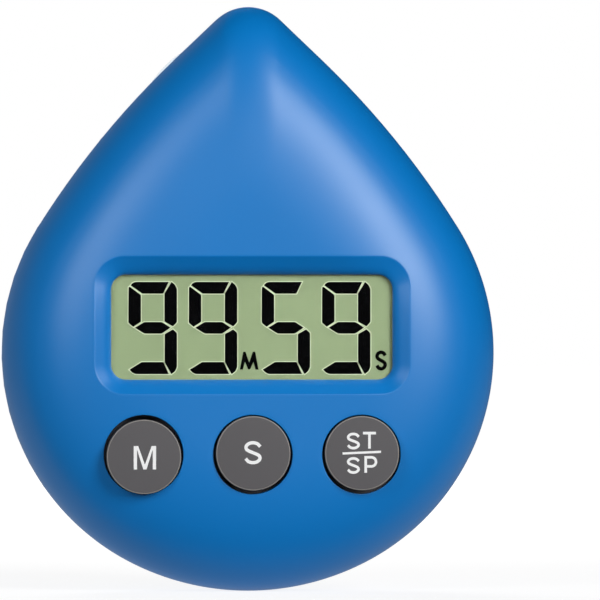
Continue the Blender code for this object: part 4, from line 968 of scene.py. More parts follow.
# %% Bars of the figures, in mm to the right of and below a figure's upper left corner
BARS = {
    "a": ((0.35, 0.46), (0.62, 0.16), (1.05, 0.0), (5.97, 0.0), (5.17, 1.68), (2.07, 1.68)),
    "b": (
        (6.48, 0.03), (6.95, 0.42), (7.24, 1.0), (7.24, 6.0),
        (6.68, 6.62), (5.45, 5.93), (5.45, 1.74),
    ),
    "c": (
        (6.68, 7.18), (7.24, 7.7), (7.24, 12.8), (6.97, 13.4),
        (6.45, 13.82), (5.47, 12.05), (5.47, 7.87),
    ),
    "d": ((0.17, 13.22), (1.97, 12.1), (5.2, 12.1), (5.98, 13.82), (1.05, 13.82), (0.6, 13.62)),
    "f": ((0.03, 0.82), (0.15, 0.74), (1.79, 1.95), (1.79, 5.95), (0.67, 6.67), (0.0, 6.1)),
    "g": ((1.03, 6.88), (2.38, 6.06), (5.0, 6.06), (6.23, 6.86), (4.97, 7.72), (2.38, 7.72)),
}
FIGURE_TOP = 41.92
FIGURES = ((-18.60, "abcdfg"), (-9.48, "abcdfg"), (1.55, "acdfg"), (10.69, "abcdfg"))
BAR_SWELL = 0.06
HALO_WIDTH = 0.12
LEAST_CORNER = 0.5
SIGN_DROP = 53.76
HALF_M = np.array(
    (
        (0, -0.34), (0.55, 1.33), (0.9, 1.33), (1.41, -1.36),
        (0.96, -1.36), (0.64, -0.2), (0.14, -1.33),
    )
)


def grown(loop, by):
    """A convex loop moved outwards: each side shifts along its normal and neighbours meet again."""
    loop = np.asarray(loop, float)
    step = np.roll(loop, -1, axis=0) - loop
    area = np.sum(loop[:, 0] * np.roll(loop[:, 1], -1) - np.roll(loop[:, 0], -1) * loop[:, 1])
    normal = np.column_stack((step[:, 1], -step[:, 0])) / np.hypot(*step.T)[:, None] * np.sign(area)
    corner = normal + np.roll(normal, 1, axis=0)
    corner /= np.maximum((corner * normal).sum(axis=1, keepdims=True), LEAST_CORNER)
    return loop + corner * by


def splayed_m():
    """The sign for minutes: a narrow M with slanting stems, from one half and its mirror image."""
    return np.concatenate((HALF_M, HALF_M[:0:-1] * (-1, 1)))


bars = []
for left, lit in FIGURES:
    for bar in lit:
        bars.append(grown(np.array(BARS[bar]) * (1, -1), BAR_SWELL) + (left, -FIGURE_TOP))
signs = [splayed_m() + (-0.39, -SIGN_DROP)]
signs += write([(letter_s, 3.04, 1.88, 0.55, 19.59, -SIGN_DROP)])
ON_GLASS = {"body": "case", "slot": "display_glass", **PLATE}
figures = plates(bars + signs, 0, 0, *FIGURE_HEIGHTS)
make_piece("display_figures", figures, figure_black, **ON_GLASS)
halos = plates([grown(loop, HALO_WIDTH) for loop in bars], 0, 0, *HALO_HEIGHTS)
make_piece("display_outlines", halos, cleared_cell, **ON_GLASS)

# %% Front plate and window, as wide and tall as the solids they stand for


def plate_for(node, heights):
    """A flat plate with round corners, as wide and tall as a node's box, between two heights."""
    low, high = np.array(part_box(node)) * 1000
    width, tall = high[0] - low[0], high[2] - low[2]
    loop = rounded_loop(width, tall, PLATE_CORNER, MAGNET_DROP - (low[2] + high[2]) / 2)
    return plates([loop], 0, 0, *heights)


front_plate = plate_for("lcd_front_glass", FILM_PLATE)
make_piece("display_front_plate", front_plate, film, stands_for=["lcd_front_glass"], **ON_GLASS)
window = plate_for("display_lens", WINDOW_SHEET)
make_piece(
    "display_window", window, clear_acrylic, "case", ["display_lens"], "clear_acrylic", **PLATE
)

# %% [markdown]
# ## The suction cup
#
# Soft clear PVC, pressed in one mould: a mushroom head that buttons into the keyhole, a short
# neck and a thin dish whose rim is thinnest. It is turned from the same profile as the solid,
# with many more points round it.

# %% Turn the cup
CUP_DROP = 20.3
CUP_RADIUS = 16.75
CUP_NECK = 2.1
CUP_HEAD = 4.7
CUP_STANDOFF = 2.4
CUP_DEPTH = 6.4
CUP_WALL = 1.1
CUP_RIM = 0.8
CUP_SIDES = 128
DISH_POINTS = 25
BACK_POWER = 1.8
FRONT_POWER = 1.9
RIM_CUT = 0.05
HEAD_LOW = 2.1
HEAD_HEIGHT = 2.7
HEAD_BAND = 0.8
HEAD_CUT = 0.15
HEAD_POINTS = 12


def cup_profile():
    """Head, neck, outer dish to the rim, and back along the inside of the dish.

    Each side of the dish falls by a power of the distance from the neck. The head's top is a
    quarter of an ellipse.
    """
    rim = -CUP_STANDOFF - CUP_DEPTH
    s = np.linspace(0, 1, DISH_POINTS)
    back_height = -CUP_STANDOFF - (CUP_DEPTH - CUP_WALL / 2) * s**BACK_POWER
    back = np.column_stack((CUP_NECK + (CUP_RADIUS - CUP_NECK) * s, back_height))
    front_height = rim + (CUP_DEPTH - 2 * CUP_WALL) * (1 - s[::-1] ** FRONT_POWER)
    front = np.column_stack(((CUP_RADIUS - CUP_RIM) * s[::-1], front_height))
    angle = np.linspace(0, 1, HEAD_POINTS) * math.pi / 2
    cap_height = HEAD_LOW + HEAD_BAND + (HEAD_HEIGHT - HEAD_BAND) * np.cos(angle)
    head = np.column_stack((CUP_HEAD * np.sin(angle), cap_height))
    neck = [(CUP_HEAD, HEAD_LOW + HEAD_CUT), (CUP_HEAD - HEAD_CUT, HEAD_LOW), (CUP_NECK, HEAD_LOW)]
    edge = [(CUP_RADIUS, rim + RIM_CUT), (CUP_RADIUS - RIM_CUT, rim)]
    return np.concatenate((head, neck, back, edge, front))


cup = [turned_block(cup_profile(), 0.0, CUP_DROP, CUP_SIDES)]
make_piece("suction_cup_finish", cup, clear_pvc, "cup", ["suction_cup"], "clear_pvc", sharp=50)

# %% [markdown]
# ## The back, and the pieces that need only a finish
#
# The back cover, the door and what is inside are shaped right as they are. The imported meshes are
# loose triangles, so a copy is welded, its flat faces are made whole again, and its curved sides
# are shaded smooth. Where a moulded or stamped edge shows, a narrow bevel catches the light.

# %% Welded copies with softened edges
PACKED_WELD_M = 2e-6
FLAT_ANGLE = math.radians(0.5)
BEVEL_ANGLE = math.radians(50)
PACKED_SHARP = 32.0


def dressed(node, material, body, bevel=0.0):
    """A welded copy of a CAD node: flat faces joined, smooth sides and, if asked, a bevel in mm."""
    mesh = NODES[node].data.copy()
    shell = bmesh.new()
    shell.from_mesh(mesh)
    bmesh.ops.remove_doubles(shell, verts=shell.verts, dist=PACKED_WELD_M)
    bmesh.ops.dissolve_limit(
        shell, angle_limit=FLAT_ANGLE, verts=shell.verts, edges=shell.edges
    )
    shell.to_mesh(mesh)
    shell.free()
    for layer in list(mesh.attributes):
        if layer.name in ("custom_normal", "sharp_edge", "sharp_face"):
            mesh.attributes.remove(layer)
    print(f"{node}: {len(mesh.polygons)} faces once welded")
    piece = finish_piece(f"{node}_finish", mesh, material, body, [node], PACKED_SHARP)
    if bevel:
        soften = piece.modifiers.new("moulded_edge", "BEVEL")
        soften.width = bevel / 1000
        soften.segments = 2
        soften.limit_method = "ANGLE"
        soften.angle_limit = BEVEL_ANGLE
        soften.harden_normals = False


dressed("rear_cover", blue_abs, "case")
dressed("battery_door", blue_abs, "door", bevel=0.12)

# %% [markdown]
# ## Metals
#
# Plated, rolled and drawn metals differ by the marks that their making leaves. A screw is tumbled
# in a plating barrel and comes out evenly dull. Strip keeps fine lines along the way it was
# rolled, and wire along the way it was drawn. So one pattern of marks is stretched along a way,
# and it tints, roughens and scores the metal together. The marks are a few hundredths of a
# millimetre wide and are drawn at a tenth or more, to show.

# %% Metal finishes: two colours, patch in mm, roughness, relief in mm, stretch
EVEN = (1.0, 1.0, 1.0)
ALONG_X = (0.12, 1.0, 1.0)
ALONG_Z = (1.0, 1.0, 0.1)
METALS = {
    "barrel_zinc_plated_steel": ("#c9c8c4", "#a9a9a8", 0.3, 0.34, 0.004, EVEN),
    "nickel_plated_rolled_strip": ("#cfcabf", "#b9b4aa", 0.12, 0.28, 0.003, ALONG_Z),
    "nickel_plated_drawn_wire": ("#d3cfc6", "#b4b0a8", 0.1, 0.25, 0.002, EVEN),
    "deep_drawn_steel_can": ("#c4c6c8", "#a6a9ab", 0.2, 0.3, 0.003, ALONG_X),
    "rolled_brass_disc": ("#d2ac5b", "#b98f43", 0.25, 0.3, 0.003, ALONG_X),
    "fired_silver_electrode": ("#d8d5cd", "#c3c0b7", 0.15, 0.5, 0.006, EVEN),
    "brushed_aluminium_reflector": ("#c9ccc2", "#b4b8ac", 0.1, 0.4, 0.003, ALONG_X),
}
zinc, nickel, drawn_wire, steel_can, brass, silver, foil = (
    mottled(name, *finish, Metallic=1.0) for name, finish in METALS.items()
)
print("metals:", list(METALS))

# %% [markdown]
# ## Screws
#
# Four pan-head screws close the case and four smaller ones hold the board. Seen from the back, a
# head is a low rounded disc with a cross pressed into it. It is a polar grid: at each distance and
# bearing the height follows the pan's curve, less a smooth-walled cross. The shank goes on as more
# rows of the same grid, its radius rising and falling along a helix to make the thread. Screws are
# driven by torque, not to an angle, so each cross stands its own way.

# %% Sizes of the screws: head radius, head height, shank radius and length in mm
SCREWS = {"case_screw": (2.1, 1.6, 1.0, 8.0), "board_screw": (1.6, 1.1, 0.85, 3.6)}
SCREWS_OF_A_KIND = 4
SCREW_SIDES = 80
SCREW_POINT = 1.2
POINT_ROWS = 6
THREAD_PITCH = 0.9
THREAD_DEPTH = 0.26
THREAD_ROWS = 8
RIDGE_STEEPNESS = 1.6
THREAD_FADE = (0.2, 0.8)
CROSS_HALF_WIDTH = 0.14
CROSS_REACH = 0.62
CROSS_DEPTH = 0.55
CROSS_WALL = 0.07
PAN_REACH = 0.93
PAN_ROWS = 24
PAN_FALL = 0.3
PAN_EDGE = ((0.98, 0.32), (1.0, 0.45), (1.0, 1.0))
TURN_PER_SCREW = 37
TURN_PER_KIND = 11


def smoothstep(low, high, value):
    """0 below low, 1 above high and a smooth cubic between."""
    t = np.clip((value - low) / (high - low), 0, 1)
    return t * t * (3 - 2 * t)


# %% A screw as one polar grid


def screw_head(head_radius, head_height, radius, bearing, turned):
    """Radii and heights above the head's lowest level: the pan less its cross, its edge and seat.

    The pan falls by the fourth power of the distance, and the cross is where the smaller of the
    two distances from its arms is below half a width.
    """
    r = np.linspace(0, PAN_REACH, PAN_ROWS)[:, None]
    u, v = np.abs(r * np.cos(bearing - turned)), np.abs(r * np.sin(bearing - turned))
    cross = smoothstep(CROSS_HALF_WIDTH + CROSS_WALL, CROSS_HALF_WIDTH, np.minimum(u, v))
    cross = cross * smoothstep(CROSS_REACH + CROSS_WALL, CROSS_REACH, np.maximum(u, v))
    edge = np.array((*PAN_EDGE, (radius / head_radius, 1.0)))
    pan = head_height * (PAN_FALL * r**4 + CROSS_DEPTH * cross)
    return (head_radius * r, head_radius * edge[:, :1]), (pan, head_height * edge[:, 1:])


def screw_shank(radius, length, bearing):
    """Radii and heights above the seat: ridges along a helix, then a point.

    The point's radius follows the square root of what is left of it.
    """
    rise = np.arange(0, length - SCREW_POINT, THREAD_PITCH / THREAD_ROWS)[:, None]
    phase = (rise / THREAD_PITCH - bearing / (2 * math.pi)) % 1
    ridge = np.clip(1 - RIDGE_STEEPNESS * np.abs(2 * phase - 1), 0, 1)
    thread = radius * (1 - THREAD_DEPTH * (1 - ridge * smoothstep(*THREAD_FADE, rise)))
    tip = np.linspace(0, 1, POINT_ROWS)[:, None]
    point = radius * (1 - THREAD_DEPTH) * np.sqrt(1 - tip)
    return (thread, point), (rise, length - SCREW_POINT * (1 - tip))


def screw_block(x, drop, low, head_radius, head_height, radius, length, turned):
    """All rows of a screw at a place, from the middle of its head to its point."""
    bearing = 2 * math.pi * np.arange(SCREW_SIDES) / SCREW_SIDES
    head_radii, head_heights = screw_head(head_radius, head_height, radius, bearing, turned)
    shank_radii, shank_heights = screw_shank(radius, length, bearing)
    heights = [low + part for part in head_heights]
    heights += [low + head_height + part for part in shank_heights]
    radii, heights = (
        np.concatenate([np.broadcast_to(part, (len(part), SCREW_SIDES)) for part in parts])
        for parts in ((*head_radii, *shank_radii), heights)
    )
    across, along = x + radii * np.cos(bearing), -drop + radii * np.sin(bearing)
    rows = np.stack((across, along, heights), axis=-1)
    return upright(rows.reshape(-1, 3)), grid_faces(len(rows), SCREW_SIDES)


def middle_of(node):
    """A node's middle as x and drop, and its lowest height, from its box, in the case's frame."""
    low, high = np.array(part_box(node)) * 1000
    return (low[0] + high[0]) / 2, MAGNET_DROP - (low[2] + high[2]) / 2, -MAGNET_PROUD - high[1]


for kind, sizes in SCREWS.items():
    for number in range(1, SCREWS_OF_A_KIND + 1):
        node = f"{kind}_{number}"
        turned = math.radians(TURN_PER_SCREW * number + TURN_PER_KIND * len(kind))
        blocks = [screw_block(*middle_of(node), *sizes, turned)]
        make_piece(f"{node}_finish", blocks, zinc, "case", [node], "plated_steel")

# %% [markdown]
# ## Tubes along a path
#
# The battery, its spring and the leads are all rings square to a path: a straight one for the
# battery, a helix for the spring, and for a lead a smooth curve through the points of its route.
# The ring's two axes come from the path's direction and one fixed direction that the path never
# takes, which keeps the rings from twisting.

# %% Rings along a path
ROUNDING_ROWS = 4


def tube(path, radius, reference, sides, way=None):
    """Points path + radius (cos t side + sin t other), with side and other square to the path."""
    path = np.asarray(path, float)
    way = np.gradient(path, axis=0) if way is None else np.broadcast_to(way, path.shape)
    side = np.cross(way, reference)
    side = side / np.linalg.norm(side, axis=1, keepdims=True)
    other = np.cross(side, way / np.linalg.norm(way, axis=1, keepdims=True))
    turn = 2 * math.pi * np.arange(sides) / sides
    radius = np.broadcast_to(radius, len(path))[:, None, None]
    ring = np.cos(turn)[:, None] * side[:, None] + np.sin(turn)[:, None] * other[:, None]
    points = path[:, None] + radius * ring
    return upright(points.reshape(-1, 3)), grid_faces(len(path), sides)


def round_ended(path, radius):
    """Rings drawn in to a point at both ends, within half of the path's first and last step."""
    angle = np.radians(np.linspace(0, 90, ROUNDING_ROWS))
    drawn_in = 0.5 * (1 - np.cos(angle))[:, None]
    head = path[0] + drawn_in * (path[1] - path[0])
    foot = path[-1] + drawn_in[::-1] * (path[-2] - path[-1])
    radii = (radius * np.sin(angle), np.full(len(path) - 2, radius), radius * np.sin(angle[::-1]))
    return np.concatenate((head, path[1:-1], foot)), np.concatenate(radii)


# %% [markdown]
# ## Leads inside the case
#
# Two leads climb from the battery contacts and two from the sounder to the back of the board. They
# are short lengths of PVC-covered wire of 0.9 mm, fixed at both ends, so each keeps its route: it
# leaves its tag, bows outwards and turns up to the board. Extruded PVC is smooth, with faint dull
# patches where it was handled.

# %% Route the leads: a start in mm, a spread aside and along, and shares of it and of the climb
LEAD_RADIUS = 0.45
LEAD_SIDES = 20
BOARD_BACK = 14.0
LEAD_END_GAP = 0.2
red_pvc = mottled("extruded_red_pvc", "#b32020", "#a01919", 0.4, 0.42, 0.006, IOR=1.53)
black_pvc = mottled("extruded_black_pvc", "#1c1c1f", "#141416", 0.4, 0.42, 0.006, IOR=1.53)
BATTERY_ROUTE = (
    (0, 0, 0), (0.6, 0.1, 0.03), (1, 0.5, 0.26),
    (0.4, 0.9, 0.54), (0.13, 1, 0.74), (0.13, 1, 1),
)
SOUNDER_ROUTE = (
    (0, 0, 0), (0, 0, 0.1), (0.35, 0.15, 0.31), (1, 0.62, 0.57),
    (0.9, 0.94, 0.81), (0.76, 1, 0.9), (0.76, 1, 1),
)
LEADS = {
    "battery_wire": ((28.45, -52.7, 10.3), (1.5, 2.0), BATTERY_ROUTE, (0, 1, 0)),
    "buzzer_wire": ((2.5, -76.48, 4.1), (1.7, 5.5), SOUNDER_ROUTE, (1, 0, 0)),
}
for kind, (start, spread, route, reference) in LEADS.items():
    climb = BOARD_BACK - LEAD_END_GAP - start[2]
    knots = np.array(start) + np.array(route) * (*spread, climb)
    for colour, side, finish in (("red", 1, red_pvc), ("black", -1, black_pvc)):
        path, radius = round_ended(smooth_path(knots * (side, 1, 1)), LEAD_RADIUS)
        node, blocks = f"{kind}_{colour}", [tube(path, radius, reference, LEAD_SIDES)]
        make_piece(f"{node}_finish", blocks, finish, "case", [node], f"lead_{colour}", sharp=60)

# %% [markdown]
# ## Battery, spring and contacts
#
# An AAA cell is a deep-drawn steel can in a printed plastic sleeve that leaves both ends bare. Its
# outline is turned about its own axis. The sleeve, its pale band and the plus and minus signs are
# set by position along the cell, so they stay where a maker prints them. The spring is wire wound
# on a mandrel, with its end turns closer together, and the two contact plates are stamped strip.

# %% Print and steel on the battery: spans as (middle, half) in mm, and bars of the signs
AXIS_DROP = 52.7
AXIS_HEIGHT = 7.1
SLEEVE = (1.45, 21.15)
PALE_BAND = (18.6, 2.6)
POLE_SIGNS = ((18.6, 1.2, 0.25), (18.6, 0.25, 1.2), (-16.6, 1.2, 0.25))
SLEEVE_TONES = (("#272b33", "#1d2026"), ("#c9cbcc", "#b6b9bb"), ("#c6c8ca", "#a9acae"))
SCUFF_MM = 1.5
SCUFF_DEPTH = 0.004


def printed_sleeve():
    """Dark print with a pale band and signs in the other tone, over steel that is bare at the ends.

    A sign is made of bars, each where a span along the cell and one across it both give 1.
    """
    name = "printed_sleeve_on_drawn_steel"
    material, tree, shader, where = new_material(name, IOR=1.5, Roughness=0.3)
    place = add(tree, "SeparateXYZ", Vector=where).outputs
    scuffing = {"Scale": per_mm(1 / SCUFF_MM), "Detail": 4.0}
    scuffs = add(tree, "TexNoise", scuffing, Vector=where).outputs["Fac"]
    dark, pale, steel = (
        add(tree, "Mix", two_tones(*tones), Factor=scuffs).outputs[2] for tones in SLEEVE_TONES
    )
    spans = [("X", SLEEVE), ("X", PALE_BAND)]
    for along, half_x, half_z in POLE_SIGNS:
        spans += [("X", (along, half_x)), ("Z", (MAGNET_DROP - AXIS_DROP, half_z))]
    covered, band, *arms = (
        add(tree, "Math", span(*limits), n_0=place[axis]).outputs[0] for axis, limits in spans
    )
    sign = None
    for along, across in zip(arms[::2], arms[1::2]):
        bar = add(tree, "Math", {"operation": "MULTIPLY"}, n_0=along, n_1=across).outputs[0]
        if sign:
            bar = add(tree, "Math", {"operation": "MAXIMUM"}, n_0=sign, n_1=bar).outputs[0]
        sign = bar
    ground = add(tree, "Mix", COLOURS, Factor=band, n_6=dark, n_7=pale).outputs[2]
    ink = add(tree, "Mix", COLOURS, Factor=band, n_6=pale, n_7=dark).outputs[2]
    printed = add(tree, "Mix", COLOURS, Factor=sign, n_6=ground, n_7=ink).outputs[2]
    whole = add(tree, "Mix", COLOURS, Factor=covered, n_6=steel, n_7=printed).outputs[2]
    bare = add(tree, "Math", {"operation": "SUBTRACT", "n_0": 1.0}, n_1=covered).outputs[0]
    fine = add(tree, "Bump", {"Distance": SCUFF_DEPTH / 1000}, Height=scuffs).outputs["Normal"]
    feed(tree, shader, Base_Color=whole, Metallic=bare, Normal=fine)
    return material


sleeve = printed_sleeve()
print("battery:", sleeve.name)

# %% Turn the battery from its profile, as (place along the axis, radius) in mm
CELL_SIDES = 96
CELL_PROFILE = (
    (-20.35, 0), (-20.35, 3.7), (-20.25, 3.85), (-20.05, 3.95), (-20.05, 4.5), (-20.2, 4.65),
    (-20.2, 4.8), (-20.12, 5.0), (-19.95, 5.15), (-19.75, 5.19), (-19.72, 5.25),
    (22.62, 5.25), (22.65, 5.19), (22.9, 5.1), (23.08, 4.9), (23.15, 4.6), (23.12, 4.4),
    (22.9, 4.3), (22.9, 3.4), (23.1, 3.2), (23.15, 2.2), (23.25, 1.98), (23.45, 1.9),
    (23.95, 1.9), (24.1, 1.83), (24.15, 1.6), (24.15, 0),
)


def on_cell_axis(along, down=0.0, out=0.0):
    """Case points at places along the cell's axis, and offsets from it."""
    offset = (-AXIS_DROP + down, AXIS_HEIGHT + out)
    return np.column_stack([along, *(np.broadcast_to(value, len(along)) for value in offset)])


along, radius = np.array(CELL_PROFILE, float).T
cell = [tube(on_cell_axis(along), radius, (0, 1, 0), CELL_SIDES, way=(1.0, 0.0, 0.0))]
make_piece(
    "aaa_battery_finish", cell, sleeve, "case", ["aaa_battery"], "battery_sleeve", sharp=35
)

# %% Wind the spring and finish the contacts
SPRING_START = -24.70
SPRING_END = -20.81
SPRING_RADIUS = 2.8
SPRING_TURNS = 4
SPRING_POINTS = 160
SPRING_SIDES = 14
EVEN_ADVANCE = 0.35
WIRE_RADIUS = 0.25


def spring_path():
    """A helix about the cell's axis: (start + advance, radius cos t, radius sin t).

    The advance is partly even and partly a smooth step, so that its end turns lie closer.
    """
    t = np.linspace(0, 1, SPRING_POINTS)
    bearing = 2 * math.pi * SPRING_TURNS * t
    advance = EVEN_ADVANCE * t + (1 - EVEN_ADVANCE) * smoothstep(0, 1, t)
    along = SPRING_START + (SPRING_END - SPRING_START) * advance
    return on_cell_axis(along, SPRING_RADIUS * np.cos(bearing), SPRING_RADIUS * np.sin(bearing))


path, wires = round_ended(spring_path(), WIRE_RADIUS)
coil = [tube(path, wires, (1, 0, 0), SPRING_SIDES)]
make_piece(
    "contact_spring_finish", coil, drawn_wire, "case", ["contact_spring"], "plated_steel", sharp=60
)
for pole in ("positive", "negative"):
    dressed(f"contact_plate_{pole}", nickel, "case", bevel=0.05)

# %% [markdown]
# ## Magnet, sounder and domes
#
# The magnet is sintered ferrite: pressed powder, fired, then ground flat, so it is dark grey and
# dull, with edges that crumble a little. Foam tape holds it. The sounder is a brass disc with a
# fired ceramic layer, silvered on top. Each button presses a dome of silicone rubber with a carbon
# pill under its roof. A dome can't slide in with its button, and each one gets a mesh of its own.

# %% Magnet and sounder


def refinish(material, *nodes):
    """Puts a material in the first slot of each CAD node's object. The mesh is left alone."""
    for node in nodes:
        NODES[node].material_slots[0].material = material
    print(material.name, "on", ", ".join(nodes))


ferrite = mottled("sintered_ground_ferrite", "#3b393a", "#2e2c2d", 0.25, 0.6, 0.012, IOR=2.0)
foam = mottled("closed_cell_foam_tape", "#e6e3d8", "#cfcabb", 0.3, 0.8, 0.03)
dressed("magnet", ferrite, "case", bevel=0.15)
refinish(foam, "magnet_tape")
refinish(brass, "buzzer_disc")
refinish(silver, "buzzer_ceramic")

# %% Switch domes, from (radius, height) pairs below the roof and above the foot
DOME_FOOT = 15.3
DOME_ROOF = DOME_FOOT + 1.7
DOME_SIDES = 72
DOME_SAMPLES = 5
ROOF_EDGE = ((0, 0), (2.02, 0), (2.14, -0.05))
SKIRT_TOP = ((2.2, -0.18), (2.6, -0.6))
SKIRT_END = ((3.1, 0.75), (3.6, 0.5))
FOOT_RING = ((4.5, 0.5), (4.6, 0.4), (4.6, 0))
HOLLOW = ((3.2, 0), (2.75, 0.35), (2.15, 0.85), (1.75, 0.95))
PILL = ((1.25, 0.95), (1.2, 0.7), (0, 0.7))
silicone = mottled("moulded_silicone_rubber", "#c3c2be", "#b5b4af", 0.5, 0.55, 0.006, IOR=1.41)


def dome_profile():
    """Roof, rounded shoulder, skirt and foot outside; hollow, pill and roof's middle inside."""
    foot, roof = np.array((0, DOME_FOOT)), np.array((0, DOME_ROOF))
    skirt = smooth_path((*(roof + SKIRT_TOP), *(foot + SKIRT_END)), DOME_SAMPLES)
    hollow = smooth_path(foot + HOLLOW, DOME_SAMPLES)
    return np.concatenate((roof + ROOF_EDGE, skirt, foot + FOOT_RING, hollow, foot + PILL))


for button in BUTTONS:
    node = f"{button}_dome"
    x, drop, _ = middle_of(node)
    blocks = [turned_block(dome_profile(), x, drop, DOME_SIDES)]
    dome = make_piece(
        f"{node}_finish", blocks, silicone, "case", [node], "switch_silicone", sharp=35
    )
    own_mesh(dome)

# %% [markdown]
# ## Board, its parts and the layers of the display
#
# The board is glass-fibre epoxy under green solder mask. Its copper tracks show through as paler
# green lines, mostly square to each other, about a millimetre apart. The chip sits under a black
# drop of epoxy. The little coil is copper wire between two ferrite flanges, and the capacitor is a
# tan ceramic block with tinned ends. Both are coloured by position, as the battery is. The rubber
# connector behind the display is a stack of conducting and insulating stripes. Real ones are
# 0.1 mm apart and are drawn at 0.5 mm, to show.

# %% Materials in two parts and in stripes
PART_PATCH_MM = 0.3
PART_RELIEF = 0.006
TRACK_RELIEF = 0.02


def two_part(name, inner, outer, axis, middle, half, rough, metal):
    """A pair of tones and a metallic value within a span along an axis, and others outside it."""
    material, tree, shader, where = new_material(name, Roughness=rough)
    coordinate = add(tree, "SeparateXYZ", Vector=where).outputs[axis]
    inside = add(tree, "Math", span(middle, half), n_0=coordinate).outputs[0]
    patches = {"Scale": per_mm(1 / PART_PATCH_MM), "Detail": 3.0}
    patch = add(tree, "TexNoise", patches, Vector=where).outputs["Fac"]
    out_tint, in_tint = (
        add(tree, "Mix", two_tones(*tones), Factor=patch).outputs[2] for tones in (outer, inner)
    )
    tint = add(tree, "Mix", COLOURS, Factor=inside, n_6=out_tint, n_7=in_tint).outputs[2]
    limits = dict(zip(("To Max", "To Min"), metal))
    metallic = add(tree, "MapRange", limits, Value=inside).outputs["Result"]
    bump = add(tree, "Bump", {"Distance": PART_RELIEF / 1000}, Height=patch).outputs["Normal"]
    feed(tree, shader, Base_Color=tint, Metallic=metallic, Normal=bump)
    return material


def striped(name, first, second, line, shape, rough):
    """Rows of long tiles, (width, height, gap) in mm, with lines between, in the board's plane."""
    material, tree, shader, where = new_material(name, Roughness=rough)
    place = add(tree, "SeparateXYZ", Vector=where).outputs
    flat = add(tree, "CombineXYZ", None, X=place["X"], Y=place["Z"]).outputs[0]
    tiles = {"Color1": linear(first), "Color2": linear(second), "Mortar": linear(line)}
    tiles |= dict(zip(("Brick Width", "Row Height", "Mortar Size"), shape))
    tiles |= {"Mortar Smooth": 0.3, "Scale": per_mm(1)}
    pattern = add(tree, "TexBrick", tiles, Vector=flat).outputs
    bump = add(tree, "Bump", {"Distance": TRACK_RELIEF / 1000}, Height=pattern["Fac"])
    feed(tree, shader, Base_Color=pattern["Color"], Normal=bump.outputs["Normal"])
    return material


# %% Board and what it carries
solder_mask = striped(
    "solder_masked_glass_epoxy", "#1d5c33", "#1a5530", "#3f8a4f", (4.3, 1.1, 0.11), rough=0.4
)
elastomer = striped(
    "striped_conducting_elastomer", "#d79a9a", "#cf9090", "#2a2728", (0.5, 9.0, 0.12), rough=0.6
)
inductor = two_part(
    "copper_on_ferrite",
    inner=("#b4653a", "#9a5430"),
    outer=("#2b2a2c", "#353436"),
    axis="Y",
    middle=-12.2,
    half=1.2,
    rough=0.4,
    metal=(1.0, 0.0),
)
chip_capacitor = two_part(
    "tin_ended_ceramic",
    inner=("#a5794e", "#93693f"),
    outer=("#c9cacc", "#b2b4b6"),
    axis="X",
    middle=19.0,
    half=1.05,
    rough=0.42,
    metal=(0.0, 1.0),
)
epoxy = mottled("poured_black_epoxy", "#17171a", "#1f1f22", 0.6, 0.3, 0.02, IOR=1.55)
FINISHES = {
    "circuit_board": solder_mask,
    "chip_epoxy": epoxy,
    "timing_crystal": steel_can,
    "buzzer_coil": inductor,
    "capacitor": chip_capacitor,
    "zebra_strip": elastomer,
    "lcd_rear_glass": film,
    "lcd_reflector": foil,
}
for node, finish in FINISHES.items():
    refinish(finish, node)

# %% [markdown]
# ## Camera and lights
#
# The picture was taken square on with a long lens, from a hair to the left. Two tall soft boxes
# stand in front, to the left and the right, the right one stronger, and they draw the broad bands
# down the flanks. A weak card behind the camera lays a haze on the flat middle. A lamp at the back
# serves the views from behind. It isn't seen in reflections, where it would draw a pale band
# round the tip. The room is dim in front, so that the blue stays deep, and brighter behind to the
# left, which draws the pale left edge. To the camera, also through clear plastic, it is white.

# %% Camera
PIXELS_PER_MM = 6.573
PICTURE = 600
AIM_PIXEL = (248.7, 298.9)
AIM_HEIGHT = 11.0
CAMERA_DISTANCE = 1.2
CAMERA_AZIMUTH = -3.6
FAR_CLIP = 20


def aim_at(holder, target, back, distance):
    """Puts a camera or a lamp at a distance back from a target and turns it to look there."""
    holder.location = target + back * distance
    holder.rotation_euler = (-back).to_track_quat("-Z", "Y").to_euler()


def aim_camera():
    """A long lens that sees picture / scale mm at the object, off the middle as pictured."""
    camera = bpy.data.cameras.new("studio_camera")
    holder = bpy.data.objects.new("studio_camera", camera)
    bpy.context.scene.collection.objects.link(holder)
    camera.lens = camera.sensor_width * CAMERA_DISTANCE / (PICTURE / PIXELS_PER_MM / 1000)
    camera.clip_end = FAR_CLIP
    turn = math.radians(CAMERA_AZIMUTH)
    back = Vector((math.sin(turn), -math.cos(turn), 0))
    right = Vector((math.cos(turn), math.sin(turn), 0))
    middle = Vector(upright((0.0, -CASE_HEIGHT / 2, AIM_HEIGHT)).tolist())
    aim = middle + right * (PICTURE / 2 - AIM_PIXEL[0]) / PIXELS_PER_MM / 1000
    aim.z -= (PICTURE / 2 - AIM_PIXEL[1]) / PIXELS_PER_MM / 1000
    aim_at(holder, aim, back, CAMERA_DISTANCE)
    bpy.context.scene.camera = holder
    return holder


camera = aim_camera()
print("camera at", np.round(camera.location, 3).tolist(), f"lens {camera.data.lens:.0f} mm")

# %% Lamps: azimuth and elevation in degrees, distance and size in metres, watts
LAMPS = {
    "left_softbox": (-34, 20, 0.9, (0.30, 0.48), 2.4),
    "right_softbox": (34, 20, 0.9, (0.30, 0.48), 5.8),
    "front_card": (0, 13, 1.5, (0.4, 0.3), 1.0),
    "back_softbox": (188, 34, 0.9, (0.50, 0.30), 5.0),
}
LAMP_TARGET = Vector((0, 0, -0.01))


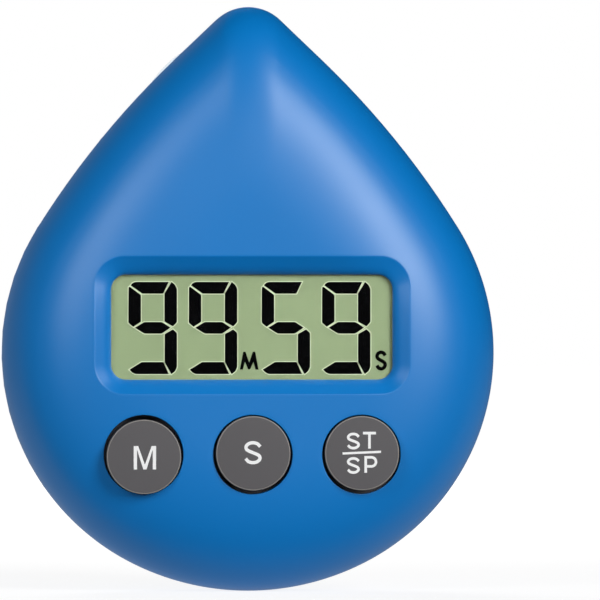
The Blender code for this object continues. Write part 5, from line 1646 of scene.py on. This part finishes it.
def soft_light(name, azimuth, elevation, distance, size, watts):
    """A rectangular lamp aimed at the middle of the object."""
    lamp = bpy.data.lights.new(name, "AREA")
    lamp.shape = "RECTANGLE"
    lamp.size, lamp.size_y = size
    lamp.energy = watts
    holder = bpy.data.objects.new(name, lamp)
    bpy.context.scene.collection.objects.link(holder)
    a, e = math.radians(azimuth), math.radians(elevation)
    back = Vector((math.sin(a) * math.cos(e), -math.cos(a) * math.cos(e), math.sin(e)))
    aim_at(holder, LAMP_TARGET, back, distance)
    return holder


lamps = {name: soft_light(name, *values) for name, values in LAMPS.items()}
lamps["back_softbox"].visible_glossy = False
print("lamps, in watts:", {name: lamp.data.energy for name, lamp in lamps.items()})

# %% The room, with its glow as a smooth step: from and to, and the values there
BRIGHT_WALL = (-0.72, 0.62, -0.3)
ROOM_GLOW = (0.3, 0.95, 0.012, 0.32)
WHITE = linear("#ffffff")


def ramp(low, high, start, end):
    """Settings for a smooth step from start, at low, to end, at high."""
    limits = {"From Min": low, "From Max": high, "To Min": start, "To Max": end}
    return {"interpolation_type": "SMOOTHSTEP", **limits}


def straight(tree):
    """1 for rays from the camera, also if they went through clear plastic, and 0 for others."""
    ray = add(tree, "LightPath").outputs
    depths = {"n_0": ray["Ray Depth"], "n_1": ray["Transmission Depth"]}
    turns = add(tree, "Math", {"operation": "SUBTRACT"}, **depths).outputs[0]
    none = add(tree, "Math", {"operation": "LESS_THAN", "n_1": 0.5}, n_0=turns).outputs[0]
    clear = {"n_0": none, "n_1": ray["Is Transmission Ray"]}
    through = add(tree, "Math", {"operation": "MULTIPLY"}, **clear).outputs[0]
    either = {"n_0": through, "n_1": ray["Is Camera Ray"]}
    return add(tree, "Math", {"operation": "MAXIMUM"}, **either).outputs[0]


world = bpy.data.worlds.new("soft_room")
bpy.context.scene.world = world
world.use_nodes = True
room = world.node_tree
room.nodes.clear()
way = add(room, "TexCoord").outputs["Generated"]
facing = {"operation": "DOT_PRODUCT", "n_1": BRIGHT_WALL}
towards = add(room, "VectorMath", facing, n_0=way).outputs["Value"]
walls = add(room, "MapRange", ramp(*ROOM_GLOW), Value=towards).outputs["Result"]
lit = add(room, "Background", {"Color": WHITE}, Strength=walls).outputs["Background"]
seen = add(room, "Background", {"Color": WHITE, "Strength": 1.0}).outputs["Background"]
either = add(room, "MixShader", None, Fac=straight(room), n_1=lit, n_2=seen)
add(room, "OutputWorld", None, Surface=either.outputs["Shader"])
print("room glows from", ROOM_GLOW[2], "to", ROOM_GLOW[3])

# %% [markdown]
# ## Paper under the timer
#
# The floor is pale paper. To the camera it glows white, a little less near the timer, so that the
# soft shadow still shows there. In reflections the paper is shown in a dark tone, a painted dark
# reflection that keeps the blue deep. Under and behind the timer it glows as painted light, a
# little brighter on the left, and that glow draws the pale band along the timer's lower edge.

# %% Floor, with its glow as smooth steps: from and to, in metres, and the values there
FLOOR_NEAR = (0.06, 0.45, 0.84, 1.0)
PAPER_STARTS = (-0.027, -0.012, 0.0, 1.0)
PAPER_FADES = (0.03, 0.30, 0.55, 0.30)
PAPER_SIDES = (-0.15, 0.15, 1.0, 0.6)
PAPER_TONES = ("#787878", "#181818")
FLOOR_REACH = 4.0


def studio_paper():
    """Paper whose glow is the product of three steps, or a white step for rays from the camera."""
    paper, tree, shader, where = new_material("pale_studio_paper", Roughness=0.9)
    shader.inputs["Emission Color"].default_value = WHITE
    # Painted reflection: rays that reflect off the plastic see the paper in the dark tone.
    glossy = add(tree, "LightPath").outputs["Is Glossy Ray"]
    tone = add(tree, "Mix", two_tones(*PAPER_TONES), Factor=glossy).outputs[2]
    away = add(tree, "VectorMath", {"operation": "LENGTH"}, n_0=where).outputs["Value"]
    place = add(tree, "SeparateXYZ", Vector=where).outputs
    measures = (place["Y"], away, place["X"], away)
    limits = (PAPER_STARTS, PAPER_FADES, PAPER_SIDES, FLOOR_NEAR)
    glow, *others, white = (
        add(tree, "MapRange", ramp(*limit), Value=measure).outputs["Result"]
        for measure, limit in zip(measures, limits)
    )
    for part in others:
        glow = add(tree, "Math", {"operation": "MULTIPLY"}, n_0=glow, n_1=part).outputs[0]
    strength = add(tree, "Mix", None, Factor=straight(tree), n_2=glow, n_3=white).outputs[0]
    feed(tree, shader, Base_Color=tone, Emission_Strength=strength)
    return paper


level = CAD_BOX[0][2]
square = ((-1, -1), (1, -1), (1, 1), (-1, 1))
corners = [(FLOOR_REACH * x, FLOOR_REACH * y, level) for x, y in square]
ground = bpy.data.meshes.new("studio_floor")
ground.from_pydata(corners, [], [(0, 1, 2, 3)])
ground.materials.append(studio_paper())
floor = bpy.data.objects.new("studio_floor", ground)
bpy.context.scene.collection.objects.link(floor)
bpy.context.scene.view_settings.view_transform = "Standard"
print(f"floor {2 * FLOOR_REACH:.0f} m wide, at {level:.4f} m")
